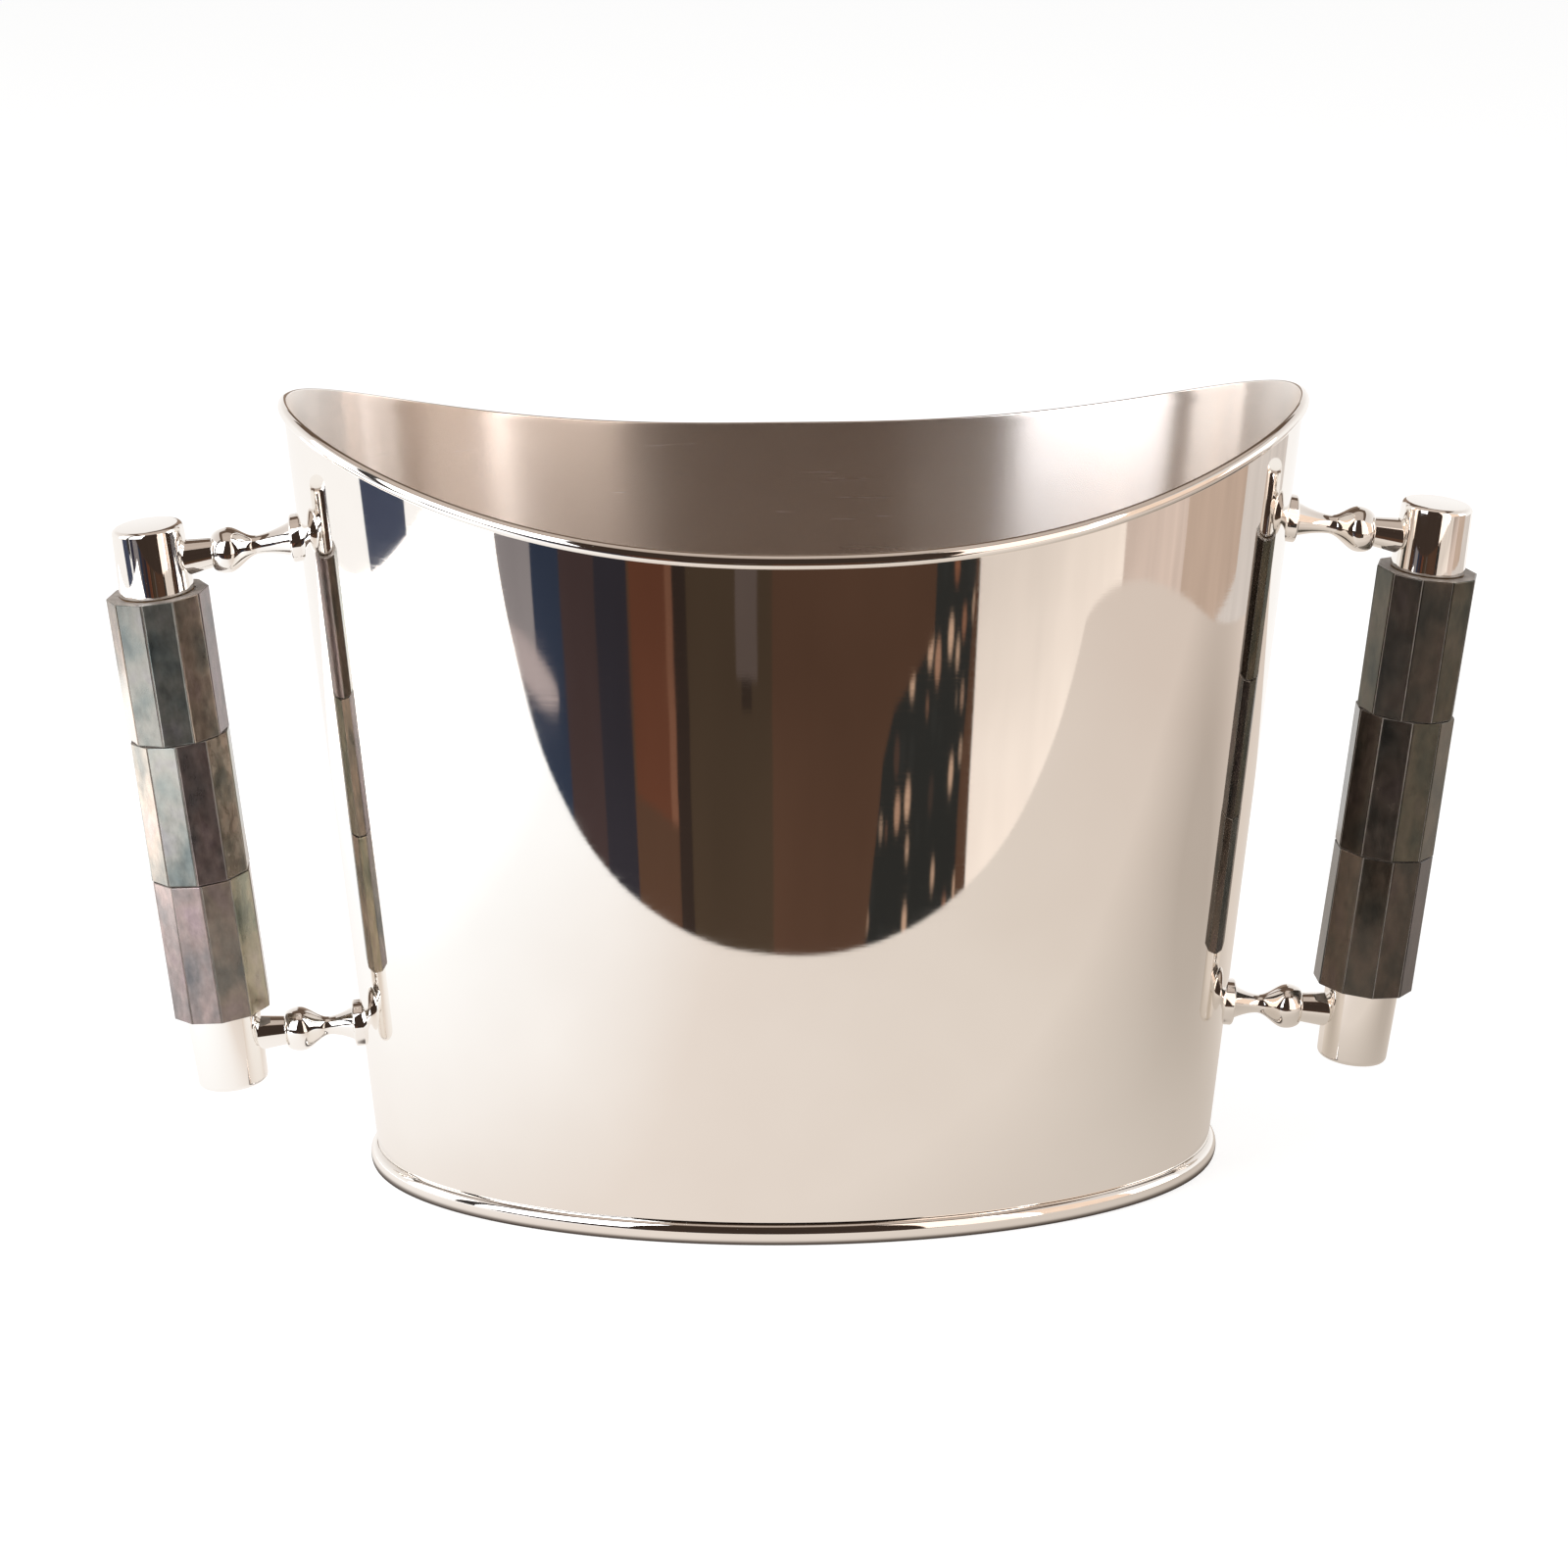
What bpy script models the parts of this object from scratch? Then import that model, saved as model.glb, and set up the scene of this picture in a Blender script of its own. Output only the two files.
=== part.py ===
"""Oval silver champagne bucket: a tapered wall with a scooped, wired rim, a beaded foot, and two fixed side
handles whose faceted grips are veneered with dark shell tiles.

Frame: metres, +Z up, +X through the handles, the origin at the middle of the foot's underside.
"""

import math

import bmesh
import bpy
from mathutils import Matrix, Vector

MM = 0.001

# Bucket body, measured on the middle of the sheet
TOP_HALF_WIDTH = 150.0 * MM
TOP_HALF_DEPTH = 83.0 * MM
BASE_HALF_WIDTH = 127.0 * MM
BASE_HALF_DEPTH = 72.5 * MM
RIM_END_HEIGHT = 238.0 * MM
RIM_SCOOP = 28.0 * MM
SCOOP_POWER = 2.5
WALL = 1.2 * MM
RIM_WIRE_RADIUS = 2.1 * MM

# Foot ring and floor
FOOT_SHELF_HEIGHT = 2.4 * MM
FOOT_BEAD_HEIGHT = 6.3 * MM
FOOT_BEAD_PROJECTION = 1.4 * MM
FOOT_LIP = 0.5 * MM
FOOT_LEDGE = 4.0 * MM
FLOOR_THICKNESS = 1.2 * MM

# Handles, placed along the slope of the wall. The left one sits a little lower than the right one, and each
# grip leans in at its lower end, where the post is the shorter one
HANDLE_BELOW_RIM = 28.9 * MM
HANDLE_ABOVE_FOOT = 33.4 * MM
HANDLE_DROP = {"right": 0.0, "left": 3.0 * MM}
HANDLE_LEAN = 1.0

# Grip: rows of flat shell tiles on a round core, between two ferrules on a tie rod
TILE_ROWS = ("lower", "middle", "upper")
TILE_ROW_TURN = (3.0, 0.0, -14.0)
TILES_IN_ROW = 10
TILE_THICKNESS = 3.1 * MM
TILE_JOINT_WIDTH = 0.5 * MM
TILE_JOINT_DEPTH = 0.35 * MM
CORE_RADIUS = 11.2 * MM
ROD_RADIUS = 3.0 * MM
ROD_ENGAGEMENT = 12.0 * MM

# Ferrules, the caps on the grip's ends. The land is the metal between a post and the grip
FERRULE_TAPER = 0.5 * MM
FERRULE_EDGE = 1.6 * MM
FERRULE_LAND = 3.5 * MM
FERRULE_CROWN = {"upper": 5.5 * MM, "lower": 8.9 * MM}
SPOT_FACE_DEPTH = 1.5 * MM

# Turned posts, from the wall outwards: flange, trumpet, knop, collar and tenon
POST_DROOP = {"upper": 4.5, "lower": 0.0}
FLANGE_THICKNESS = 2.4 * MM
FLANGE_STEP = 2.0 * MM
FLANGE_EDGE = 0.7 * MM
TRUMPET_LENGTH = 10.2 * MM
TRUMPET_FLARE = 2.4 * MM
TRUMPET_POWER = 1.7
NECK_METAL = 0.5 * MM
KNOP_SWELL = 4.0 * MM
KNOP_RISE = 8.8 * MM
KNOP_FALL = 4.6 * MM
COLLAR_STEP = 1.6 * MM
COLLAR_FLARE = 1.0 * MM
COLLAR_LENGTH = 8.5 * MM
TENON_SHOULDER = 2.4 * MM
TENON_METAL = 1.1 * MM

# Screws that hold the posts from inside the bucket, and their seals
SCREW_RADIUS = 2.0 * MM
SCREW_REACH = 8.0 * MM
SCREW_HEAD_RADIUS = 4.5 * MM
SCREW_HEAD_HEIGHT = 2.6 * MM
SEAL_RADIUS = 6.0 * MM
SEAL_THICKNESS = 1.0 * MM

# Clearance that every piece keeps from the piece it seats on, and the distance at which vertices merge
SEAT = 0.3 * MM
MERGE = 0.01 * MM

# Fineness of the facets
OVAL_SEGMENTS = 80
WIRE_RESOLUTION = 2
POST_STEPS = 18
FASTENER_STEPS = 14
GRIP_STEPS = 28
BEAD_STEPS = 5
COLLAR_STEPS = 2
KNOP_STEPS = 4
TRUMPET_STEPS = 4
EDGE_STEPS = 3
DOME_STEPS = 4

# Worked-out radii
SCREW_HOLE = SCREW_RADIUS + SEAT
ROD_HOLE = ROD_RADIUS + SEAT
NECK_RADIUS = SCREW_HOLE + NECK_METAL
TRUMPET_RADIUS = NECK_RADIUS + TRUMPET_FLARE
FLANGE_RADIUS = TRUMPET_RADIUS + FLANGE_STEP
KNOP_RADIUS = NECK_RADIUS + KNOP_SWELL
COLLAR_NECK_RADIUS = NECK_RADIUS + COLLAR_STEP
COLLAR_RADIUS = COLLAR_NECK_RADIUS + COLLAR_FLARE
TENON_RADIUS = COLLAR_RADIUS - TENON_SHOULDER
FERRULE_END_RADIUS = CORE_RADIUS - FERRULE_TAPER
GRIP_APOTHEM = CORE_RADIUS + SEAT + TILE_THICKNESS

# Worked-out places on a handle, in its own frame: X out of the wall, Z up along it
WALL_TILT = math.atan2(TOP_HALF_WIDTH - BASE_HALF_WIDTH, RIM_END_HEIGHT)
WALL_LENGTH = math.hypot(TOP_HALF_WIDTH - BASE_HALF_WIDTH, RIM_END_HEIGHT)
SPOT_FACE_OFFSET = FERRULE_END_RADIUS - SPOT_FACE_DEPTH
TENON_LENGTH = SPOT_FACE_OFFSET - SEAT - ROD_HOLE - TENON_METAL
POST_INSET = FERRULE_LAND + SEAT + COLLAR_RADIUS
FERRULE_LENGTH = {level: POST_INSET + COLLAR_RADIUS + SEAT + crown for level, crown in FERRULE_CROWN.items()}
SLEEVE_BOTTOM = HANDLE_ABOVE_FOOT + FERRULE_LENGTH["lower"]
SLEEVE_TOP = WALL_LENGTH - HANDLE_BELOW_RIM - FERRULE_LENGTH["upper"]
SLEEVE_LENGTH = SLEEVE_TOP - SLEEVE_BOTTOM
TILE_LENGTH = (SLEEVE_LENGTH - SEAT) / len(TILE_ROWS) - SEAT
POST_HEIGHT = {"upper": SLEEVE_TOP + POST_INSET, "lower": SLEEVE_BOTTOM - POST_INSET}
LEAN_SLOPE = math.tan(math.radians(HANDLE_LEAN))
TRUMPET_REACH = {level: TRUMPET_LENGTH - (POST_HEIGHT["upper"] - height) * LEAN_SLOPE
                 for level, height in POST_HEIGHT.items()}
POST_LENGTH = {level: FLANGE_THICKNESS + reach + KNOP_RISE + KNOP_FALL + COLLAR_LENGTH
               for level, reach in TRUMPET_REACH.items()}
GRIP_FOOT = SEAT + POST_LENGTH["upper"] + SEAT + SPOT_FACE_OFFSET - POST_HEIGHT["upper"] * LEAN_SLOPE

WALL_FOOT = FOOT_SHELF_HEIGHT + SEAT
FLOOR_MIDDLE = FOOT_SHELF_HEIGHT + SEAT + FLOOR_THICKNESS / 2


# Scene and materials

def clear_scene():
    for obj in list(bpy.data.objects):
        bpy.data.objects.remove(obj)


def new_collection(name):
    collection = bpy.data.collections.new(name)
    bpy.context.scene.collection.children.link(collection)
    return collection


def make_material(name, colour, roughness, metallic):
    material = bpy.data.materials.new(name)
    material.use_nodes = True
    shader = material.node_tree.nodes["Principled BSDF"]
    shader.inputs["Base Color"].default_value = (*colour, 1.0)
    shader.inputs["Roughness"].default_value = roughness
    shader.inputs["Metallic"].default_value = metallic
    return material


def add_object(name, data, collection, material=None, parent=None, location=(0, 0, 0), rotation=(0, 0, 0)):
    obj = bpy.data.objects.new(name, data)
    collection.objects.link(obj)
    obj.parent = parent
    obj.location = location
    obj.rotation_euler = rotation
    if material:
        data.materials.append(material)
    return obj


def hide_helper(obj):
    """A cutter or a profile guides the shapes and isn't a piece of the bucket."""
    obj.hide_render = True
    obj.display_type = "WIRE"
    return obj


# Shape helpers

def arc(centre, radius, start, end, count):
    """Points on an arc, ends included. Angles in degrees, from the first axis."""
    angles = [math.radians(start + (end - start) * k / count) for k in range(count + 1)]
    return [(centre[0] + radius * math.cos(a), centre[1] + radius * math.sin(a)) for a in angles]


def turned_mesh(name, profile, ring=False):
    """A (radius, height) profile as edges. A ring's profile closes on itself, another ends on the axis."""
    mesh = bpy.data.meshes.new(name)
    count = len(profile)
    edges = [(k, (k + 1) % count) for k in range(count if ring else count - 1)]
    mesh.from_pydata([(r, 0, h) for r, h in profile], edges, [])
    return mesh


def add_screw(obj, steps):
    screw = obj.modifiers.new("turn", "SCREW")
    screw.axis = "Z"
    screw.steps = steps
    screw.render_steps = steps
    screw.use_merge_vertices = True
    screw.merge_threshold = MERGE
    screw.use_smooth_shade = True
    return obj


def cut(obj, cutter):
    boolean = obj.modifiers.new("cut", "BOOLEAN")
    boolean.operation = "DIFFERENCE"
    boolean.solver = "EXACT"
    boolean.object = cutter


def closed_spline(curve, points):
    spline = curve.splines.new("POLY")
    spline.points.add(len(points) - 1)
    for point, place in zip(spline.points, points):
        point.co = (*Vector(place).to_3d(), 1.0)
    spline.use_cyclic_u = True


def flat_curve(name, outlines, thickness):
    """A plate whose first outline is its edge. Any other outline is a hole in it."""
    curve = bpy.data.curves.new(name, "CURVE")
    curve.dimensions = "2D"
    curve.fill_mode = "BOTH"
    curve.extrude = thickness / 2
    for outline in outlines:
        closed_spline(curve, outline)
    return curve


def path_curve(name, points):
    """A closed path that a section sweeps along, upright all the way round."""
    curve = bpy.data.curves.new(name, "CURVE")
    curve.dimensions = "3D"
    curve.twist_mode = "Z_UP"
    closed_spline(curve, points)
    return curve


def circle(radius, count):
    return arc((0, 0), radius, 0, 360, count)[:-1]


# The oval wall as a surface: an angle round it and a height give a point

def half_width(height):
    return BASE_HALF_WIDTH + (TOP_HALF_WIDTH - BASE_HALF_WIDTH) * height / RIM_END_HEIGHT


def half_depth(height):
    return BASE_HALF_DEPTH + (TOP_HALF_DEPTH - BASE_HALF_DEPTH) * height / RIM_END_HEIGHT


def wall_point(angle, height):
    return Vector((half_width(height) * math.cos(angle), half_depth(height) * math.sin(angle), height))


def rim_point(angle):
    """The rim wire's centre: highest at the two ends, and scooped out between them."""
    return wall_point(angle, RIM_END_HEIGHT - RIM_SCOOP * (1 - abs(math.cos(angle)) ** SCOOP_POWER))


def wall_top(angle):
    """The sheet's upper edge, which stays under the rim wire square to the rim's slope."""
    step = math.pi / OVAL_SEGMENTS
    rise = rim_point(angle + step) - rim_point(angle - step)
    slope = rise.z / math.hypot(rise.x, rise.y)
    return rim_point(angle).z - (RIM_WIRE_RADIUS + SEAT) * math.hypot(1, slope)


def oval_angles():
    return [2 * math.pi * k / OVAL_SEGMENTS for k in range(OVAL_SEGMENTS)]


def offset_oval(height, inset):
    """Plan points at an equal distance inside the wall's middle, measured square to it."""
    points = []
    for angle in oval_angles():
        place = wall_point(angle, height)
        normal = Vector((math.cos(angle) / half_width(height), math.sin(angle) / half_depth(height)))
        normal.normalize()
        points.append((place.x - inset * normal.x, place.y - inset * normal.y))
    return points


# Body pieces

def make_wall(pieces, material):
    """A tapered sheet with straight rulings, from the foot ring's shelf to the underside of the rim wire."""
    mesh = bpy.data.meshes.new("bucket_wall")
    sheet = bmesh.new()
    bmesh.ops.create_cone(sheet, cap_ends=False, segments=OVAL_SEGMENTS, radius1=1, radius2=1, depth=1)
    for vert in sheet.verts:
        angle = math.atan2(vert.co.y, vert.co.x)
        vert.co = wall_point(angle, WALL_FOOT if vert.co.z < 0 else wall_top(angle))
    sheet.to_mesh(mesh)
    sheet.free()
    mesh.shade_smooth()
    wall = add_object("bucket_wall", mesh, pieces, material)
    solidify = wall.modifiers.new("sheet", "SOLIDIFY")
    solidify.thickness = WALL
    solidify.offset = 0
    solidify.use_even_offset = True
    return wall


def make_rim_wire(pieces, material):
    curve = path_curve("rim_wire", [rim_point(angle) for angle in oval_angles()])
    curve.bevel_depth = RIM_WIRE_RADIUS
    curve.bevel_resolution = WIRE_RESOLUTION
    add_object("rim_wire", curve, pieces, material)


def foot_profile():
    """Section of the foot ring: X outwards from the wall's middle, Y up from the table. The lip inside the
    bead leans as much as the wall does where it leans most."""
    lean = max(TOP_HALF_WIDTH - BASE_HALF_WIDTH, TOP_HALF_DEPTH - BASE_HALF_DEPTH) / RIM_END_HEIGHT
    lip_foot = WALL / 2 + SEAT + lean * FOOT_SHELF_HEIGHT
    lip_inside = WALL / 2 + SEAT + lean * FOOT_BEAD_HEIGHT
    lip_outside = lip_inside + FOOT_LIP
    ledge_inside = -(WALL / 2 + FOOT_LEDGE)
    points = [(lip_foot, FOOT_SHELF_HEIGHT), (lip_inside, FOOT_BEAD_HEIGHT)]
    for k in range(BEAD_STEPS + 1):
        turn = math.pi * (0.5 - k / BEAD_STEPS)
        out = lip_outside + FOOT_BEAD_PROJECTION * math.cos(turn)
        points.append((out, FOOT_BEAD_HEIGHT * (1 + math.sin(turn)) / 2))
    return points + [(ledge_inside, 0), (ledge_inside, FOOT_SHELF_HEIGHT)]


def make_foot_ring(pieces, helpers, material):
    """A half-round bead with a shelf inside it, which the wall and the floor stand on."""
    section = bpy.data.curves.new("foot_section", "CURVE")
    section.dimensions = "2D"
    closed_spline(section, foot_profile())
    curve = path_curve("foot_ring", [wall_point(angle, 0) for angle in oval_angles()])
    curve.bevel_mode = "OBJECT"
    curve.bevel_object = hide_helper(add_object("foot_section", section, helpers))
    add_object("foot_ring", curve, pieces, material)


def make_floor(pieces, material):
    outline = offset_oval(FLOOR_MIDDLE - FLOOR_THICKNESS / 2, WALL / 2 + SEAT)
    curve = flat_curve("floor_plate", [outline], FLOOR_THICKNESS)
    add_object("floor_plate", curve, pieces, material, location=(0, 0, FLOOR_MIDDLE))


# Handle pieces, each in the handle's own frame

def post_profile(level):
    """The turned post from its tenon's tip back to its flange, then up the blind hole for its screw."""
    neck = FLANGE_THICKNESS + TRUMPET_REACH[level]
    equator = neck + KNOP_RISE
    collar_neck = equator + KNOP_FALL
    shoulder = POST_LENGTH[level]
    tip = shoulder + TENON_LENGTH
    hole_end = SCREW_REACH + SEAT
    points = [(0, tip), (TENON_RADIUS, tip), (TENON_RADIUS, shoulder)]
    for k in range(COLLAR_STEPS):
        share = 1 - k / COLLAR_STEPS
        points.append((COLLAR_NECK_RADIUS + COLLAR_FLARE * share, collar_neck + COLLAR_LENGTH * share))
    for k in range(KNOP_STEPS):
        turn = math.pi / 2 * k / KNOP_STEPS
        radius = COLLAR_NECK_RADIUS + (KNOP_RADIUS - COLLAR_NECK_RADIUS) * math.sin(turn)
        points.append((radius, equator + KNOP_FALL * math.cos(turn)))
    for k in range(KNOP_STEPS):
        share = k / KNOP_STEPS
        swell = (1 + math.cos(math.pi * share)) / 2
        points.append((NECK_RADIUS + KNOP_SWELL * swell, equator - KNOP_RISE * share))
    for k in range(TRUMPET_STEPS + 1):
        share = k / TRUMPET_STEPS
        flare = TRUMPET_FLARE * share ** TRUMPET_POWER
        points.append((NECK_RADIUS + flare, neck - TRUMPET_REACH[level] * share))
    rounded = FLANGE_RADIUS - FLANGE_EDGE
    points += arc((rounded, FLANGE_THICKNESS - FLANGE_EDGE), FLANGE_EDGE, 90, 0, EDGE_STEPS)
    return points + [(FLANGE_RADIUS, 0), (SCREW_HOLE, 0), (SCREW_HOLE, hole_end), (0, hole_end)]


def ferrule_profile(length):
    """The cap from its rounded free end down to the sleeve, then up the blind hole for the tie rod."""
    bore_end = ROD_ENGAGEMENT + SEAT
    rounded = FERRULE_END_RADIUS - FERRULE_EDGE
    edge = arc((rounded, length - FERRULE_EDGE), FERRULE_EDGE, 90, 0, EDGE_STEPS)
    return [(0, length), *edge, (CORE_RADIUS, 0), (ROD_HOLE, 0), (ROD_HOLE, bore_end), (0, bore_end)]


def socket_profile(level):
    """Cutter for a ferrule's side: a spot face for the post's collar, and a hole for its tenon."""
    collar = COLLAR_RADIUS + SEAT
    tenon = TENON_RADIUS + SEAT
    shoulder = POST_LENGTH[level] + SEAT
    tip = shoulder + TENON_LENGTH
    start = POST_LENGTH[level] - CORE_RADIUS
    return [(0, tip), (tenon, tip), (tenon, shoulder), (collar, shoulder), (collar, start), (0, start)]


def screw_profile(seat_depth):
    """Dome-headed screw: Z runs out of the bucket, and the head's underside is at 0."""
    tip = seat_depth + SEAL_THICKNESS + 2 * SEAT + SCREW_REACH
    points = [(0, tip), (SCREW_RADIUS, tip), (SCREW_RADIUS, 0), (SCREW_HEAD_RADIUS, 0)]
    for k in range(1, DOME_STEPS):
        turn = math.pi / 2 * k / DOME_STEPS
        points.append((SCREW_HEAD_RADIUS * math.cos(turn), -SCREW_HEAD_HEIGHT * math.sin(turn)))
    return points + [(0, -SCREW_HEAD_HEIGHT)]


def seal_seat(height):
    """How far the seal's flat face stays inside the wall's outer face. The hollow of the oval's end closes in
    on the seal's edge, so the seal stands off by that much."""
    end_width = half_width(height) - WALL / 2
    end_depth = half_depth(height) - WALL / 2
    hollow = end_width * (1 - math.sqrt(1 - (SEAL_RADIUS / end_depth) ** 2))
    return WALL + hollow + SEAT


def tile_ring_outline(turn):
    """Flat tiles edge to edge, with a fine open joint at each corner."""
    half_angle = math.pi / TILES_IN_ROW
    reach = GRIP_APOTHEM * math.tan(half_angle) - TILE_JOINT_WIDTH / 2
    corner = GRIP_APOTHEM / math.cos(half_angle) - TILE_JOINT_DEPTH
    points = []
    for k in range(TILES_IN_ROW):
        facing = math.radians(turn) + 2 * half_angle * k
        joint = facing + half_angle
        out = Vector((math.cos(facing), math.sin(facing)))
        along = Vector((-out.y, out.x))
        points += [GRIP_APOTHEM * out - reach * along, GRIP_APOTHEM * out + reach * along]
        points.append((corner * math.cos(joint), corner * math.sin(joint)))
    return points


def make_grip(side, grip, pieces, materials):
    """Core, tie rod and the rows of tiles, all round the grip's axis."""
    def add(label, data, height, material):
        return add_object(f"{side}_{label}", data, pieces, material, grip, (0, 0, height))

    core_top = SLEEVE_LENGTH - SEAT
    core = [(CORE_RADIUS, core_top), (CORE_RADIUS, SEAT), (ROD_HOLE, SEAT), (ROD_HOLE, core_top)]
    core_mesh = turned_mesh(f"{side}_grip_core", core, ring=True)
    add_screw(add("grip_core", core_mesh, SLEEVE_BOTTOM, materials["wood"]), GRIP_STEPS)
    rod_top = SLEEVE_LENGTH + ROD_ENGAGEMENT
    rod = [(0, rod_top), (ROD_RADIUS, rod_top), (ROD_RADIUS, -ROD_ENGAGEMENT), (0, -ROD_ENGAGEMENT)]
    rod_mesh = turned_mesh(f"{side}_tie_rod", rod)
    add_screw(add("tie_rod", rod_mesh, SLEEVE_BOTTOM, materials["steel"]), FASTENER_STEPS)
    for index, (row, turn) in enumerate(zip(TILE_ROWS, TILE_ROW_TURN)):
        outlines = [tile_ring_outline(turn), circle(CORE_RADIUS + SEAT, GRIP_STEPS)]
        middle = SLEEVE_BOTTOM + SEAT + index * (TILE_LENGTH + SEAT) + TILE_LENGTH / 2
        ring = flat_curve(f"{side}_{row}_tiles", outlines, TILE_LENGTH)
        add(f"{row}_tiles", ring, middle, materials["shell"])


def droop_matrix(level):
    """Lets a post and its screw run down to the ferrule while the flange stays flat on the wall."""
    slope = math.tan(math.radians(POST_DROOP[level]))
    matrix = Matrix()
    matrix[2][0] = -slope
    matrix[2][3] = slope * (SEAT + POST_LENGTH[level])
    return matrix


def make_mounting(side, level, frame, grip, wall, pieces, helpers, materials):
    """One end of a handle: ferrule, post, screw and seal, with the hole in the wall and the socket."""
    name = f"{side}_{level}"
    sleeve_end = SLEEVE_TOP if level == "upper" else SLEEVE_BOTTOM
    upright = (0, 0, 0) if level == "upper" else (math.pi, 0, 0)
    ferrule_mesh = turned_mesh(f"{name}_ferrule", ferrule_profile(FERRULE_LENGTH[level]))
    ferrule = add_object(f"{name}_ferrule", ferrule_mesh, pieces, materials["silver"], grip,
                         (0, 0, sleeve_end), upright)
    add_screw(ferrule, GRIP_STEPS)

    def turned(label, profile, start, collection, material, steps, ring=False):
        """A piece on the post's axis, which starts at a distance out of the wall's outer face."""
        piece = add_object(f"{name}_{label}", turned_mesh(f"{name}_{label}", profile, ring), collection,
                           material, frame, (start, 0, POST_HEIGHT[level]), (0, math.pi / 2, 0))
        piece.matrix_parent_inverse = droop_matrix(level)
        return add_screw(piece, steps)

    turned("post", post_profile(level), SEAT, pieces, materials["silver"], POST_STEPS)
    cut(ferrule, hide_helper(turned("socket", socket_profile(level), SEAT, helpers, None, POST_STEPS)))
    drill = [(0, WALL), (SCREW_HOLE, WALL), (SCREW_HOLE, -WALL), (0, -WALL)]
    cut(wall, hide_helper(turned("drill", drill, -WALL / 2, helpers, None, FASTENER_STEPS)))

    seat_depth = seal_seat((POST_HEIGHT[level] - HANDLE_DROP[side]) * math.cos(WALL_TILT))
    seal_start = -(seat_depth + SEAL_THICKNESS)
    seal = [(SEAL_RADIUS, SEAL_THICKNESS), (SEAL_RADIUS, 0), (SCREW_HOLE, 0), (SCREW_HOLE, SEAL_THICKNESS)]
    turned("seal", seal, seal_start, pieces, materials["seal"], FASTENER_STEPS, ring=True)
    turned("screw", screw_profile(seat_depth), seal_start - SEAT, pieces, materials["steel"], FASTENER_STEPS)


def make_handle(side, turn, wall, pieces, helpers, materials):
    """A handle stands on the wall's outer face at one end of the oval, along the tilted wall."""
    drop = HANDLE_DROP[side]
    out = BASE_HALF_WIDTH + WALL / 2 * math.cos(WALL_TILT) - drop * math.sin(WALL_TILT)
    up = -WALL / 2 * math.sin(WALL_TILT) - drop * math.cos(WALL_TILT)
    frame = add_object(f"{side}_handle_frame", None, helpers, location=(out * math.cos(turn), 0, up),
                       rotation=(0, WALL_TILT, turn))
    grip = add_object(f"{side}_grip_frame", None, helpers, parent=frame, location=(GRIP_FOOT, 0, 0),
                      rotation=(0, math.radians(HANDLE_LEAN), 0))
    make_grip(side, grip, pieces, materials)
    for level in POST_HEIGHT:
        make_mounting(side, level, frame, grip, wall, pieces, helpers, materials)


def main():
    clear_scene()
    pieces = new_collection("champagne_bucket")
    helpers = new_collection("cutters_and_guides")
    materials = {
        "silver": make_material("polished_silver", (0.86, 0.82, 0.77), 0.06, 1.0),
        "shell": make_material("dark_shell", (0.17, 0.15, 0.14), 0.25, 0.0),
        "wood": make_material("hardwood", (0.30, 0.19, 0.11), 0.60, 0.0),
        "steel": make_material("steel", (0.62, 0.61, 0.59), 0.25, 1.0),
        "seal": make_material("seal_rubber", (0.75, 0.74, 0.71), 0.70, 0.0),
    }
    wall = make_wall(pieces, materials["silver"])
    make_rim_wire(pieces, materials["silver"])
    make_foot_ring(pieces, helpers, materials["silver"])
    make_floor(pieces, materials["silver"])
    make_handle("right", 0, wall, pieces, helpers, materials)
    make_handle("left", math.pi, wall, pieces, helpers, materials)


main()
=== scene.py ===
"""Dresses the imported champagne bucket: polished silver that is satin inside, grips veneered with dark shell
tiles, and a plain white studio. Metres, +Z up, +X through the handles, as in the frame."""

import math
import random

import bmesh
import bpy
from mathutils import Matrix, Vector


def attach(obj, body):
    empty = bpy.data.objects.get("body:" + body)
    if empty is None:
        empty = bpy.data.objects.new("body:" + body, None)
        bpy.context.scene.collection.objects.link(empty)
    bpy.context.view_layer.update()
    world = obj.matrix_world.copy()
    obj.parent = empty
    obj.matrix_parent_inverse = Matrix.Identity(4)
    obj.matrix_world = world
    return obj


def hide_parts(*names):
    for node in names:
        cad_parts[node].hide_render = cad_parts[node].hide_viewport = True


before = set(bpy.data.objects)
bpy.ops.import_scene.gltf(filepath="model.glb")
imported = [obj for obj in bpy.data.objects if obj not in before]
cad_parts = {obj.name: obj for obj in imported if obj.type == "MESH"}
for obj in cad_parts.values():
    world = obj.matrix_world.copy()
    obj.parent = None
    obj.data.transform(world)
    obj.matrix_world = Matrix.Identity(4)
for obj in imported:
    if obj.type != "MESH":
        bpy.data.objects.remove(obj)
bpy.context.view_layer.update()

MM = 0.001

# Bucket body, as in the frame, measured on the middle of the sheet. SCOOP_POWER shapes the rim's scoop.
TOP_HALF_WIDTH = 150.0 * MM
TOP_HALF_DEPTH = 83.0 * MM
BASE_HALF_WIDTH = 127.0 * MM
BASE_HALF_DEPTH = 72.5 * MM
RIM_END_HEIGHT = 238.0 * MM
RIM_SCOOP = 28.0 * MM
SCOOP_POWER = 2.5
WALL = 1.2 * MM
RIM_WIRE_RADIUS = 2.1 * MM
RIM_EDGE = 0.35 * MM
RIM_LAP = 0.03 * MM
SHEET_DROP = 0.8 * RIM_WIRE_RADIUS
SEAT = 0.3 * MM

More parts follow.
